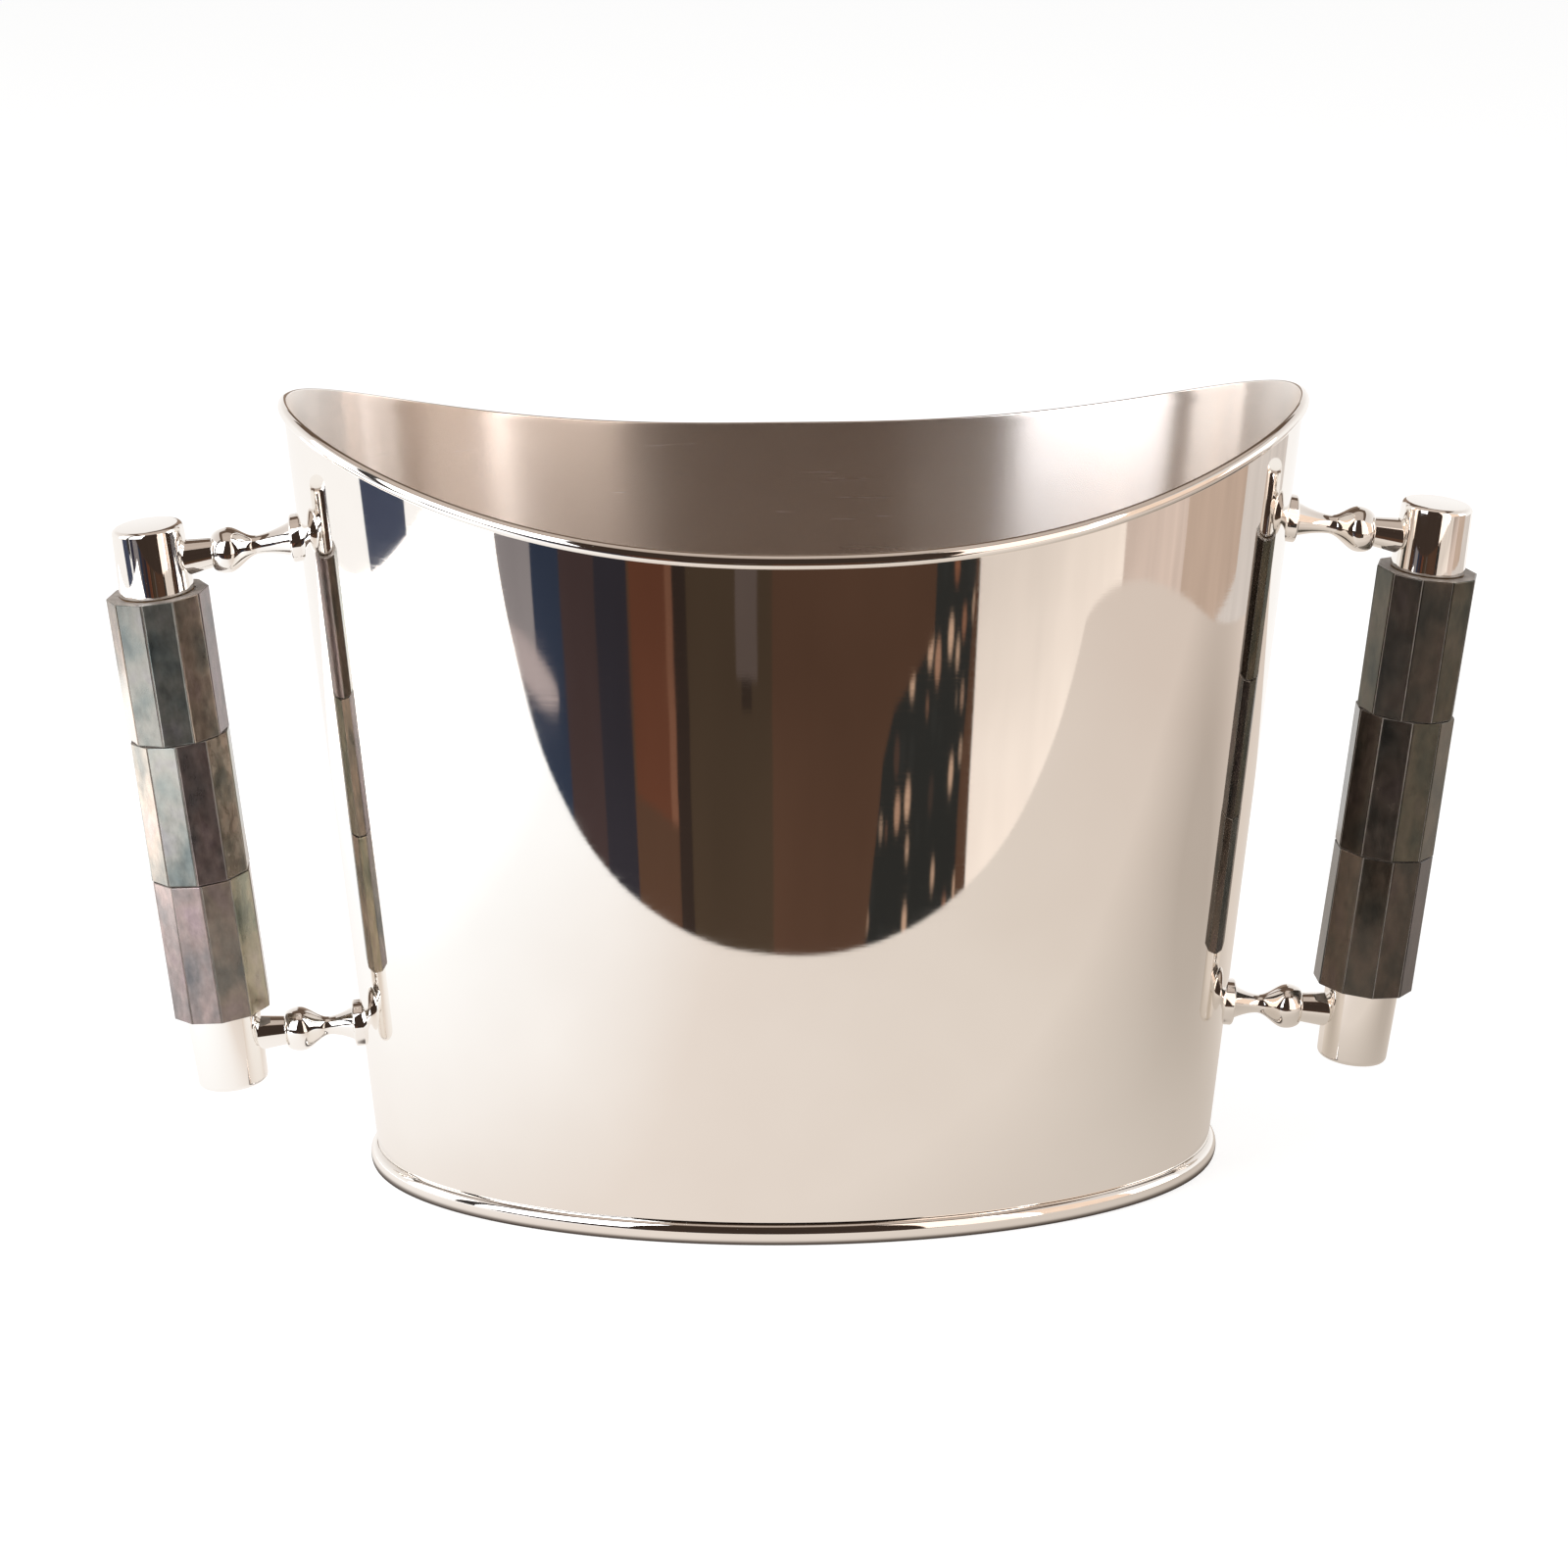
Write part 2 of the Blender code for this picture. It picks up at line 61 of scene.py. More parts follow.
# Foot ring and floor. Each ring of the floor's pressed step has a scale and a share of the step's depth.
FOOT_SHELF_HEIGHT = 2.4 * MM
FOOT_BEAD_HEIGHT = 6.3 * MM
FOOT_BEAD_PROJECTION = 1.4 * MM
FOOT_LIP = 0.5 * MM
FOOT_LEDGE = 4.0 * MM
FOOT_SOLDER = 0.02 * MM
FLOOR_THICKNESS = 1.2 * MM
FLOOR_EDGE = 0.3 * MM
FLOOR_STEP = 0.35 * MM
FLOOR_STEP_RINGS = ((0.93, 0.0), (0.915, 0.5), (0.90, 1.0), (0.75, 1.0), (0.5, 1.0), (0.25, 1.0))

# Handles
HANDLE_TURN = {"right": 0.0, "left": math.pi}
HANDLE_DROP = {"right": 0.0, "left": 3.0 * MM}
HANDLE_LEAN = math.radians(1.0)
SLEEVE_BOTTOM = 57.2 * MM
SLEEVE_TOP = 189.8 * MM
POST_INSET = 9.2 * MM
POST_DROOP = {"upper": math.radians(4.5), "lower": 0.0}

# Grip tiles: turns, tilts and twists in degrees
TILE_ROWS = ("lower", "middle", "upper")
TILE_ROW_TURN = (3.0, 0.0, -14.0)
TILE_TILT = 0.5
TILE_TWIST = 0.25
TILES_IN_ROW = 10
TILE_JOINT_WIDTH = 0.5 * MM
TILE_JOINT_DEPTH = 0.35 * MM
TILE_BEVEL = 0.28 * MM
TILE_PROUD = 0.42 * MM
TILE_SINK = 0.08 * MM
CORE_RADIUS = 11.2 * MM
GRIP_APOTHEM = 14.6 * MM

# Shell tints, the range of brightness on each side, and how far apart the tiles lie in the shell's pattern
SHELL_TINTS = ((0.165, 0.140, 0.118), (0.132, 0.125, 0.097), (0.115, 0.127, 0.130), (0.148, 0.127, 0.132),
               (0.188, 0.172, 0.160))
# The ranges of brightness hold painted light: the left grip's tiles are lighter and the right grip's darker.
SHELL_TONES_AND_PAINTED_LIGHT = {"left": (1.2, 3.1), "right": (0.45, 0.95)}
SHELL_SHIFT = 9.0
SHELL_SEED = 11

# Ferrules
FERRULE_LENGTH = {"upper": 20.4 * MM, "lower": 23.8 * MM}
FERRULE_END_RADIUS = 10.7 * MM
FERRULE_EDGE = 1.6 * MM
FERRULE_LIP = 0.35 * MM
ROD_HOLE = 3.3 * MM
ROD_ENGAGEMENT = 12.3 * MM
SPOT_FACE_OFFSET = 9.2 * MM

# Turned posts
FLANGE_THICKNESS = 2.4 * MM
FLANGE_RADIUS = 7.2 * MM
FLANGE_EDGE = 0.7 * MM
TRUMPET_LENGTH = 10.2 * MM
TRUMPET_FLARE = 2.4 * MM
TRUMPET_POWER = 1.7
NECK_RADIUS = 2.8 * MM
KNOP_RADIUS = 6.8 * MM
KNOP_RISE = 8.8 * MM
KNOP_FALL = 4.6 * MM
COLLAR_NECK_RADIUS = 4.4 * MM
COLLAR_RADIUS = 5.4 * MM
COLLAR_LENGTH = 8.5 * MM
COLLAR_SINK = 2.0 * MM

# Screws and seals inside the bucket
SCREW_RADIUS = 2.0 * MM
SCREW_HOLE = 2.3 * MM
SCREW_CHAMFER = 0.3 * SCREW_RADIUS
SCREW_REACH = 8.0 * MM
SCREW_HEAD_RADIUS = 4.5 * MM
SCREW_HEAD_HEIGHT = 2.6 * MM
SLOT_WIDTH = 1.0 * MM
SLOT_DEPTH = 1.1 * MM
SEAL_RADIUS = 6.0 * MM
SEAL_THICKNESS = 1.0 * MM
SEAL_EDGE = 0.35 * MM

# Fineness of the visible meshes and of the search for a seat on the wall
OVAL_STEPS = 288
WALL_ROWS = 16
POST_STEPS = 64
GRIP_STEPS = 96
CURVE_STEPS = 20
EDGE_STEPS = 8
BEVEL_STEPS = 3
SHARP_ANGLE = math.radians(34)
POLE_RADIUS = 0.0001 * MM
SEARCH_REACH = 3.0 * MM
SEARCH_STEPS = 40

# Part of a noise's range over which a tone changes
NOISE_LOW = 0.3
NOISE_HIGH = 0.7

# Worked-out places and directions
WALL_TILT = math.atan2(TOP_HALF_WIDTH - BASE_HALF_WIDTH, RIM_END_HEIGHT)
WALL_FOOT = FOOT_SHELF_HEIGHT + SEAT
FLOOR_TOP = FOOT_SHELF_HEIGHT + SEAT + FLOOR_THICKNESS
SLEEVE_LENGTH = SLEEVE_TOP - SLEEVE_BOTTOM
TILE_LENGTH = (SLEEVE_LENGTH - SEAT) / len(TILE_ROWS) - SEAT
POST_HEIGHT = {"upper": SLEEVE_TOP + POST_INSET, "lower": SLEEVE_BOTTOM - POST_INSET}
TRUMPET_REACH = {level: TRUMPET_LENGTH - (POST_HEIGHT["upper"] - height) * math.tan(HANDLE_LEAN)
                 for level, height in POST_HEIGHT.items()}
POST_LENGTH = {level: FLANGE_THICKNESS + reach + KNOP_RISE + KNOP_FALL + COLLAR_LENGTH
               for level, reach in TRUMPET_REACH.items()}
GRIP_FOOT = (SEAT + POST_LENGTH["upper"] + SEAT + SPOT_FACE_OFFSET
             - POST_HEIGHT["upper"] * math.tan(HANDLE_LEAN))
OVAL_ANGLES = [2 * math.pi * k / OVAL_STEPS for k in range(OVAL_STEPS)]


# Shader helpers

def connect(tree, node, inputs):
    """Sets a node's inputs. Each is a value, or another node's output to link."""
    for name, value in inputs.items():
        if isinstance(value, bpy.types.NodeSocket):
            tree.links.new(value, node.inputs[name])
        else:
            node.inputs[name].default_value = value


def add_node(tree, kind, inputs=None, **settings):
    node = tree.nodes.new(kind)
    for name, value in settings.items():
        setattr(node, name, value)
    connect(tree, node, inputs or {})
    return node


def ramp(tree, factor, stops):
    """A colour ramp through (place, colour) stops."""
    node = add_node(tree, "ShaderNodeValToRGB", {"Fac": factor})
    elements = node.color_ramp.elements
    elements.remove(elements[1])
    for index, (place, colour) in enumerate(stops):
        element = elements.new(place) if index else elements[0]
        element.position = place
        element.color = (*colour, 1.0)
    return node.outputs["Color"]


def two_tone(tree, factor, first, second):
    """A soft change from one colour to another over the middle of a noise."""
    return ramp(tree, factor, [(NOISE_LOW, first), (NOISE_HIGH, second)])


def noise(tree, vector, scale, detail=3.0, roughness=0.5):
    inputs = {"Vector": vector, "Scale": scale, "Detail": detail, "Roughness": roughness}
    return add_node(tree, "ShaderNodeTexNoise", inputs).outputs["Fac"]


def stretch(tree, vector, scale):
    return add_node(tree, "ShaderNodeMapping", {"Vector": vector, "Scale": scale}).outputs["Vector"]


def stretched_noise(tree, vector, scale, detail=3.0, roughness=0.5):
    """Noise with its own scale along each axis."""
    return noise(tree, stretch(tree, vector, scale), 1.0, detail, roughness)


def remap(tree, value, low, high, from_low=0.0, from_high=1.0):
    limits = {"From Min": from_low, "From Max": from_high, "To Min": low, "To Max": high}
    return add_node(tree, "ShaderNodeMapRange", {"Value": value, **limits}).outputs["Result"]


def blend_colour(tree, factor, first, second, mode="MIX"):
    """Mixes two colours. The Mix node has its colour sockets after those for numbers and vectors."""
    inputs = {0: factor, 6: first, 7: second}
    return add_node(tree, "ShaderNodeMix", inputs, data_type="RGBA", blend_type=mode).outputs[2]


def multiply_colours(tree, first, second):
    return blend_colour(tree, 1.0, first, second, "MULTIPLY")


def combine(tree, first, second, operation):
    return add_node(tree, "ShaderNodeMath", {0: first, 1: second}, operation=operation).outputs[0]


def bump(tree, height, distance, strength=1.0, normal=None):
    inputs = {"Height": height, "Distance": distance, "Strength": strength}
    if normal:
        inputs["Normal"] = normal
    return add_node(tree, "ShaderNodeBump", inputs).outputs["Normal"]


def new_material(name):
    """A fresh material, its node tree and its shader."""
    material = bpy.data.materials.new(name)
    material.use_nodes = True
    tree = material.node_tree
    return material, tree, tree.nodes["Principled BSDF"]


def object_coords(tree):
    return add_node(tree, "ShaderNodeTexCoord").outputs["Object"]


# Materials of the bucket

def make_polished_silver():
    """Mirror polish with faint hand-rubbed waves, hairline scratches and a few dull smudges."""
    material, tree, shader = new_material("polished_silver")
    coords = object_coords(tree)
    warm = (0.90, 0.865, 0.825)
    pale = (0.945, 0.92, 0.885)
    scratches = stretched_noise(tree, coords, (60, 60, 2200), detail=4.0, roughness=0.7)
    smudges = noise(tree, coords, scale=11.0, detail=5.0, roughness=0.6)
    fine = remap(tree, scratches, 0.018, 0.05, from_low=0.35, from_high=0.75)
    dull = remap(tree, smudges, 0.0, 0.05, from_low=0.5, from_high=0.8)
    waves = bump(tree, noise(tree, coords, scale=20.0, detail=1.0), distance=0.06 * MM)
    connect(tree, shader, {
        "Base Color": two_tone(tree, noise(tree, coords, scale=14.0), warm, pale),
        "Roughness": combine(tree, fine, dull, "ADD"),
        "Normal": bump(tree, scratches, distance=0.002 * MM, strength=0.5, normal=waves),
        "Metallic": 1.0,
    })
    return material


def make_satin_silver():
    """The inside, rubbed round and round to a satin that draws reflections out into upright bands."""
    material, tree, shader = new_material("satin_silver")
    coords = object_coords(tree)
    warm = (0.85, 0.785, 0.735)
    pale = (0.92, 0.87, 0.825)
    rubbed = stretched_noise(tree, coords, (14, 14, 1500), detail=5.0, roughness=0.7)
    cloudy = noise(tree, coords, scale=16.0, detail=4.0, roughness=0.6)
    around = add_node(tree, "ShaderNodeTangent", direction_type="RADIAL", axis="Z")
    connect(tree, shader, {
        "Base Color": two_tone(tree, cloudy, warm, pale),
        "Roughness": remap(tree, rubbed, 0.255, 0.275, NOISE_LOW, NOISE_HIGH),
        "Normal": bump(tree, rubbed, distance=0.0008 * MM, strength=0.12),
        "Tangent": around.outputs["Tangent"],
        "Metallic": 1.0,
        "Anisotropic": 1.0,
        "Anisotropic Rotation": 0.25,
    })
    return material


def make_shell():
    """Polished dark mother-of-pearl: each tile has its own colour with painted light, lighter on the left
    grip and darker on the right, with pearly clouds and fine mottling.
    """
    material, tree, shader = new_material("dark_shell")
    place = add_node(tree, "ShaderNodeUVMap", uv_map="tile").outputs["UV"]
    tint_and_painted_light = add_node(tree, "ShaderNodeAttribute", attribute_name="tint_and_painted_light").outputs["Color"]
    clouds = stretched_noise(tree, place, (95, 55, 1))
    mottles = stretched_noise(tree, place, (360, 190, 1), detail=5.0, roughness=0.65)
    pearl = ramp(tree, clouds, [(0.32, (0.54, 0.61, 0.61)), (0.44, (0.86, 0.87, 0.82)),
                                (0.56, (1.15, 1.06, 0.97)), (0.68, (1.13, 1.01, 1.02))])
    deep = (0.70, 0.69, 0.68)
    light = (1.12, 1.11, 1.10)
    coloured = multiply_colours(tree, tint_and_painted_light, pearl)
    connect(tree, shader, {
        "Base Color": multiply_colours(tree, coloured, two_tone(tree, mottles, deep, light)),
        "Roughness": remap(tree, mottles, 0.13, 0.24, NOISE_LOW, NOISE_HIGH),
        "Normal": bump(tree, clouds, distance=0.06 * MM, strength=0.5),
        "Metallic": 0.7,
        "Coat Weight": 0.25,
        "Coat Roughness": 0.05,
    })
    return material


def make_resin():
    """The dark filler in the joints between the tiles."""
    material, tree, shader = new_material("joint_resin")
    coords = object_coords(tree)
    brown = (0.20, 0.175, 0.155)
    tan = (0.34, 0.30, 0.27)
    connect(tree, shader, {
        "Base Color": two_tone(tree, noise(tree, coords, scale=300.0), brown, tan),
        "Roughness": remap(tree, noise(tree, coords, scale=900.0), 0.35, 0.6),
    })
    return material


def make_wood():
    material, tree, shader = new_material("core_hardwood")
    grain = stretched_noise(tree, object_coords(tree), (700, 700, 40), detail=5.0, roughness=0.6)
    dark = (0.19, 0.11, 0.06)
    light = (0.36, 0.24, 0.14)
    connect(tree, shader, {
        "Base Color": two_tone(tree, grain, dark, light),
        "Roughness": remap(tree, grain, 0.5, 0.7),
        "Normal": bump(tree, grain, distance=0.1 * MM, strength=0.5),
    })
    return material


def make_steel():
    material, tree, shader = new_material("turned_steel")
    turned = stretched_noise(tree, object_coords(tree), (2500, 400, 400), detail=4.0, roughness=0.6)
    dark = (0.55, 0.54, 0.52)
    light = (0.68, 0.67, 0.65)
    connect(tree, shader, {
        "Base Color": two_tone(tree, turned, dark, light),
        "Roughness": remap(tree, turned, 0.16, 0.32, NOISE_LOW, NOISE_HIGH),
        "Normal": bump(tree, turned, distance=0.01 * MM, strength=0.5),
        "Metallic": 1.0,
    })
    return material


def make_rubber():
    material, tree, shader = new_material("pale_rubber")
    coords = object_coords(tree)
    specks = noise(tree, coords, scale=1200.0, roughness=0.7)
    dark = (0.68, 0.67, 0.64)
    light = (0.78, 0.77, 0.74)
    connect(tree, shader, {
        "Base Color": two_tone(tree, noise(tree, coords, scale=200.0), dark, light),
        "Roughness": remap(tree, specks, 0.6, 0.8),
        "Normal": bump(tree, specks, distance=0.03 * MM, strength=0.6),
    })
    return material


# Mesh helpers

def ring_mesh(name, rings, wrap=False, band_materials=None):
    """A skin over neighbouring rings of points. A ring of one point is a pole. With wrap, the last ring is
    joined to the first."""
    mesh = bpy.data.meshes.new(name)
    work = bmesh.new()
    loops = [[work.verts.new(point) for point in ring] for ring in rings]
    pairs = list(zip(loops, loops[1:] + loops[:1])) if wrap else list(zip(loops, loops[1:]))
    for index, (first, second) in enumerate(pairs):
        count = max(len(first), len(second))
        for k in range(count):
            after = (k + 1) % count
            corners = [first[k], first[after]] if len(first) > 1 else [first[0]]
            corners += [second[after], second[k]] if len(second) > 1 else [second[0]]
            face = work.faces.new(corners)
            face.material_index = band_materials[index] if band_materials else 0
    bmesh.ops.recalc_face_normals(work, faces=work.faces)
    work.to_mesh(mesh)
    work.free()
    mesh.shade_smooth()
    mesh.set_sharp_from_angle(angle=SHARP_ANGLE)
    return mesh


def lathe_rings(profile, steps, matrix):
    """Rings for a (radius, height) profile turned round Z, then placed by the matrix."""
    turns = [2 * math.pi * k / steps for k in range(steps)]
    rings = []
    for radius, height in profile:
        if radius < POLE_RADIUS:
            rings.append([matrix @ Vector((0, 0, height))])
        else:
            circle = [(radius * math.cos(turn), radius * math.sin(turn)) for turn in turns]
            rings.append([matrix @ Vector((x, y, height)) for x, y in circle])
    return rings


def arc(centre, radius, start, end, count):
    """Points on an arc, ends included. Angles in degrees, from the first axis."""
    angles = [math.radians(start + (end - start) * k / count) for k in range(count + 1)]
    return [(centre[0] + radius * math.cos(a), centre[1] + radius * math.sin(a)) for a in angles]


def shares(count):
    """Equal steps from 0 to 1, ends included."""
    return [k / count for k in range(count + 1)]


def add_piece(name, mesh, node, slot, *materials):
    """A visible piece that stands for one CAD node."""
    piece = bpy.data.objects.new(name, mesh)
    bpy.context.scene.collection.objects.link(piece)
    for material in materials:
        mesh.materials.append(material)
    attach(piece, "root")
    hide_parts(node)
    return piece


# The oval wall as a surface

def half_width(height):
    return BASE_HALF_WIDTH + (TOP_HALF_WIDTH - BASE_HALF_WIDTH) * height / RIM_END_HEIGHT


def half_depth(height):
    return BASE_HALF_DEPTH + (TOP_HALF_DEPTH - BASE_HALF_DEPTH) * height / RIM_END_HEIGHT


def wall_point(angle, height):
    return Vector((half_width(height) * math.cos(angle), half_depth(height) * math.sin(angle), height))


def plan_normal(angle, height):
    """Square to the oval in plan, out of the bucket."""
    across = math.cos(angle) / half_width(height)
    along = math.sin(angle) / half_depth(height)
    return Vector((across, along, 0)).normalized()


def wall_normal(angle, height):
    """Square to the sheet, out of the bucket."""
    along = wall_point(angle, height + MM) - wall_point(angle, height)
    round_it = Vector((-half_width(height) * math.sin(angle), half_depth(height) * math.cos(angle), 0))
    return round_it.cross(along).normalized()


def rim_point(angle):
    return wall_point(angle, RIM_END_HEIGHT - RIM_SCOOP * (1 - abs(math.cos(angle)) ** SCOOP_POWER))


def rim_tangent(angle):
    step = math.pi / OVAL_STEPS
    return (rim_point(angle + step) - rim_point(angle - step)).normalized()


# Body pieces

def make_wall(silver, satin):
    """The sheet, let a little into the rim wire, where the solder closes the seam."""
    def top(angle):
        run = rim_tangent(angle)
        return rim_point(angle).z - SHEET_DROP / math.hypot(run.x, run.y)

    def skin(share, side):
        ring = []
        for angle in OVAL_ANGLES:
            height = WALL_FOOT + (top(angle) - WALL_FOOT) * share
            ring.append(wall_point(angle, height) + side * WALL / 2 * wall_normal(angle, height))
        return ring

    outside = [skin(share, 1) for share in shares(WALL_ROWS)]
    inside = [skin(share, -1) for share in reversed(shares(WALL_ROWS))]
    bands = [0] * (WALL_ROWS + 1) + [1] * WALL_ROWS + [0]
    mesh = ring_mesh("wall_sheet", outside + inside, True, bands)
    add_piece("wall_sheet", mesh, "bucket_wall", "polished_silver", silver, satin)


def rim_section(lean):
    """Section of the rim: a half-round outside, and a flat inner side that carries the wall's face up."""
    points = arc((0, 0), RIM_WIRE_RADIUS, -90, 90, CURVE_STEPS)
    inside = WALL / 2 + RIM_LAP
    shoulder = RIM_WIRE_RADIUS - RIM_EDGE
    for share in shares(EDGE_STEPS)[1:-1]:
        turn = math.pi / 2 * share
        points.append(((lean * shoulder - inside) * math.sin(turn), shoulder + RIM_EDGE * math.cos(turn)))
    return points + [(lean * up - inside, up) for up in (shoulder, 0.0, -RIM_WIRE_RADIUS)]


def make_rim(silver, satin):
    """The far rim shows no bulge inside the bucket, so the satin runs up to its edge there."""
    columns = []
    for angle in OVAL_ANGLES:
        along = rim_tangent(angle)
        out = along.cross(Vector((0, 0, 1))).normalized()
        up = out.cross(along)
        square = wall_normal(angle, rim_point(angle).z)
        lean = -square.z / math.hypot(square.x, square.y)
        columns.append([rim_point(angle) + across * out + rise * up for across, rise in rim_section(lean)])
    rings = [list(ring) for ring in zip(*columns)]
    polished = CURVE_STEPS + EDGE_STEPS
    bands = [0 if index < polished else 1 for index in range(len(rings))]
    mesh = ring_mesh("rim_roll", rings, True, bands)
    add_piece("rim_roll", mesh, "rim_wire", "polished_silver", silver, satin)


def foot_section():
    """Section of the foot ring: out from the wall's middle, and up from the table."""
    lean = (TOP_HALF_WIDTH - BASE_HALF_WIDTH) / RIM_END_HEIGHT
    lip_foot = WALL / 2 + FOOT_SOLDER + lean * FOOT_SHELF_HEIGHT
    lip_inside = WALL / 2 + FOOT_SOLDER + lean * FOOT_BEAD_HEIGHT
    lip_outside = lip_inside + SEAT - FOOT_SOLDER + FOOT_LIP
    ledge_inside = -(WALL / 2 + FOOT_LEDGE)
    points = [(lip_foot, FOOT_SHELF_HEIGHT), (lip_inside, FOOT_BEAD_HEIGHT)]
    for share in shares(CURVE_STEPS):
        turn = math.pi * (0.5 - share)
        start = lip_inside if turn > 0 else lip_outside
        out = start + (lip_outside + FOOT_BEAD_PROJECTION - start) * math.cos(turn)
        points.append((out, FOOT_BEAD_HEIGHT * (1 + math.sin(turn)) / 2))
    return points + [(ledge_inside, 0), (ledge_inside, FOOT_SHELF_HEIGHT)]


def make_foot(silver):
    rings = []
    for out, up in foot_section():
        rings.append([wall_point(angle, 0) + out * plan_normal(angle, 0) + Vector((0, 0, up))
                      for angle in OVAL_ANGLES])
    add_piece("foot_bead", ring_mesh("foot_bead", rings, True), "foot_ring", "polished_silver", silver)


def make_floor(satin):
    """The floor inside, with a shallow pressed step near its edge."""
    inset = WALL / 2 + SEAT
    bottom = FLOOR_TOP - FLOOR_THICKNESS

    def outline(scale, height, shrink=0.0):
        ring = []
        for angle in OVAL_ANGLES:
            place = wall_point(angle, bottom) - (inset + shrink) * plan_normal(angle, bottom)
            ring.append(Vector((place.x * scale, place.y * scale, height)))
        return ring

    rings = [[Vector((0, 0, bottom))], outline(1, bottom)]
    for across, up in arc((0, 0), FLOOR_EDGE, 0, 90, EDGE_STEPS):
        rings.append(outline(1, FLOOR_TOP - FLOOR_EDGE + up, FLOOR_EDGE - across))
    rings += [outline(scale, FLOOR_TOP - FLOOR_STEP * share) for scale, share in FLOOR_STEP_RINGS]
    rings.append([Vector((0, 0, FLOOR_TOP - FLOOR_STEP))])
    add_piece("floor_dish", ring_mesh("floor_dish", rings), "floor_plate", "polished_silver", satin)


# Handle pieces

def handle_matrix(side):
    turn = HANDLE_TURN[side]
    drop = HANDLE_DROP[side]
    out = BASE_HALF_WIDTH + WALL / 2 * math.cos(WALL_TILT) - drop * math.sin(WALL_TILT)
    up = -WALL / 2 * math.sin(WALL_TILT) - drop * math.cos(WALL_TILT)
    place = Matrix.Translation((out * math.cos(turn), 0, up))
    return place @ Matrix.Rotation(turn, 4, "Z") @ Matrix.Rotation(WALL_TILT, 4, "Y")


def grip_matrix(side):
    foot = Matrix.Translation((GRIP_FOOT, 0, 0))
    return handle_matrix(side) @ foot @ Matrix.Rotation(HANDLE_LEAN, 4, "Y")


def post_matrix(side, level, start):
    """On the post's axis, a distance out of the wall. The droop shears the axis, so the flange stays flat
    on the wall."""
    slope = math.tan(POST_DROOP[level])
    droop = Matrix()
    droop[2][0] = -slope
    droop[2][3] = slope * (SEAT + POST_LENGTH[level])
    place = Matrix.Translation((start, 0, POST_HEIGHT[level]))
    return handle_matrix(side) @ droop @ place @ Matrix.Rotation(math.pi / 2, 4, "Y")


def post_profile(level):
    """From the collar's end, sunk in the ferrule, back to the flange on the wall."""
    neck = FLANGE_THICKNESS + TRUMPET_REACH[level]
    equator = neck + KNOP_RISE
    collar_neck = equator + KNOP_FALL
    end = POST_LENGTH[level] + COLLAR_SINK
    points = [(0, end), (COLLAR_RADIUS, end)]
    for share in shares(CURVE_STEPS)[:-1]:
        flare = (COLLAR_RADIUS - COLLAR_NECK_RADIUS) * (1 - share)
        points.append((COLLAR_NECK_RADIUS + flare, collar_neck + COLLAR_LENGTH * (1 - share)))
    for share in shares(CURVE_STEPS)[:-1]:
        turn = math.pi / 2 * share
        radius = COLLAR_NECK_RADIUS + (KNOP_RADIUS - COLLAR_NECK_RADIUS) * math.sin(turn)
        points.append((radius, equator + KNOP_FALL * math.cos(turn)))
    for share in shares(CURVE_STEPS)[:-1]:
        swell = (1 + math.cos(math.pi * share)) / 2
        points.append((NECK_RADIUS + (KNOP_RADIUS - NECK_RADIUS) * swell, equator - KNOP_RISE * share))
    for share in shares(CURVE_STEPS):
        radius = NECK_RADIUS + TRUMPET_FLARE * share ** TRUMPET_POWER
        points.append((radius, neck - TRUMPET_REACH[level] * share))
    rounded = FLANGE_RADIUS - FLANGE_EDGE
    points += arc((rounded, FLANGE_THICKNESS - FLANGE_EDGE), FLANGE_EDGE, 90, 0, EDGE_STEPS)
    return points + [(FLANGE_RADIUS, 0), (SCREW_HOLE, 0), (SCREW_HOLE, SCREW_REACH), (0, SCREW_REACH)]


def outside_wall(point):
    """Above 0 outside the wall's outer face, below 0 inside it."""
    across = point.x / (half_width(point.z) + WALL / 2)
    along = point.y / (half_depth(point.z) + WALL / 2)
    return across ** 2 + along ** 2 - 1


def seat_on_wall(point, direction):
    """The place where a line through the point meets the wall's outer face."""
    near = -SEARCH_REACH
    far = SEARCH_REACH
    for _ in range(SEARCH_STEPS):
        middle = (near + far) / 2
        if outside_wall(point + middle * direction) > 0:
            far = middle
        else:
            near = middle
    return point + far * direction


def make_post(side, level, silver):
    """The back of the flange is dressed to the curve of the wall."""
    matrix = post_matrix(side, level, SEAT)
    profile = post_profile(level)
    rings = lathe_rings(profile, POST_STEPS, matrix)
    axis = (matrix.to_3x3() @ Vector((0, 0, 1))).normalized()
    for index, (_, height) in enumerate(profile):
        if height == 0:
            rings[index] = [seat_on_wall(point, axis) for point in rings[index]]
    name = f"{side}_{level}_post"
    add_piece(f"{name}_turned", ring_mesh(f"{name}_turned", rings), name, "polished_silver", silver)


def make_ferrule(side, level, silver):
    length = FERRULE_LENGTH[level]
    sleeve_end = SLEEVE_TOP if level == "upper" else SLEEVE_BOTTOM
    flip = Matrix() if level == "upper" else Matrix.Rotation(math.pi, 4, "X")
    matrix = grip_matrix(side) @ Matrix.Translation((0, 0, sleeve_end)) @ flip
    rounded = FERRULE_END_RADIUS - FERRULE_EDGE
    profile = [(0, length), *arc((rounded, length - FERRULE_EDGE), FERRULE_EDGE, 90, 0, EDGE_STEPS)]
    profile += arc((CORE_RADIUS - FERRULE_LIP, FERRULE_LIP), FERRULE_LIP, 0, -90, EDGE_STEPS)
    profile += [(ROD_HOLE, 0), (ROD_HOLE, ROD_ENGAGEMENT), (0, ROD_ENGAGEMENT)]
    name = f"{side}_{level}_ferrule"
    mesh = ring_mesh(f"{name}_cap", lathe_rings(profile, GRIP_STEPS, matrix))
    add_piece(f"{name}_cap", mesh, name, "polished_silver", silver)


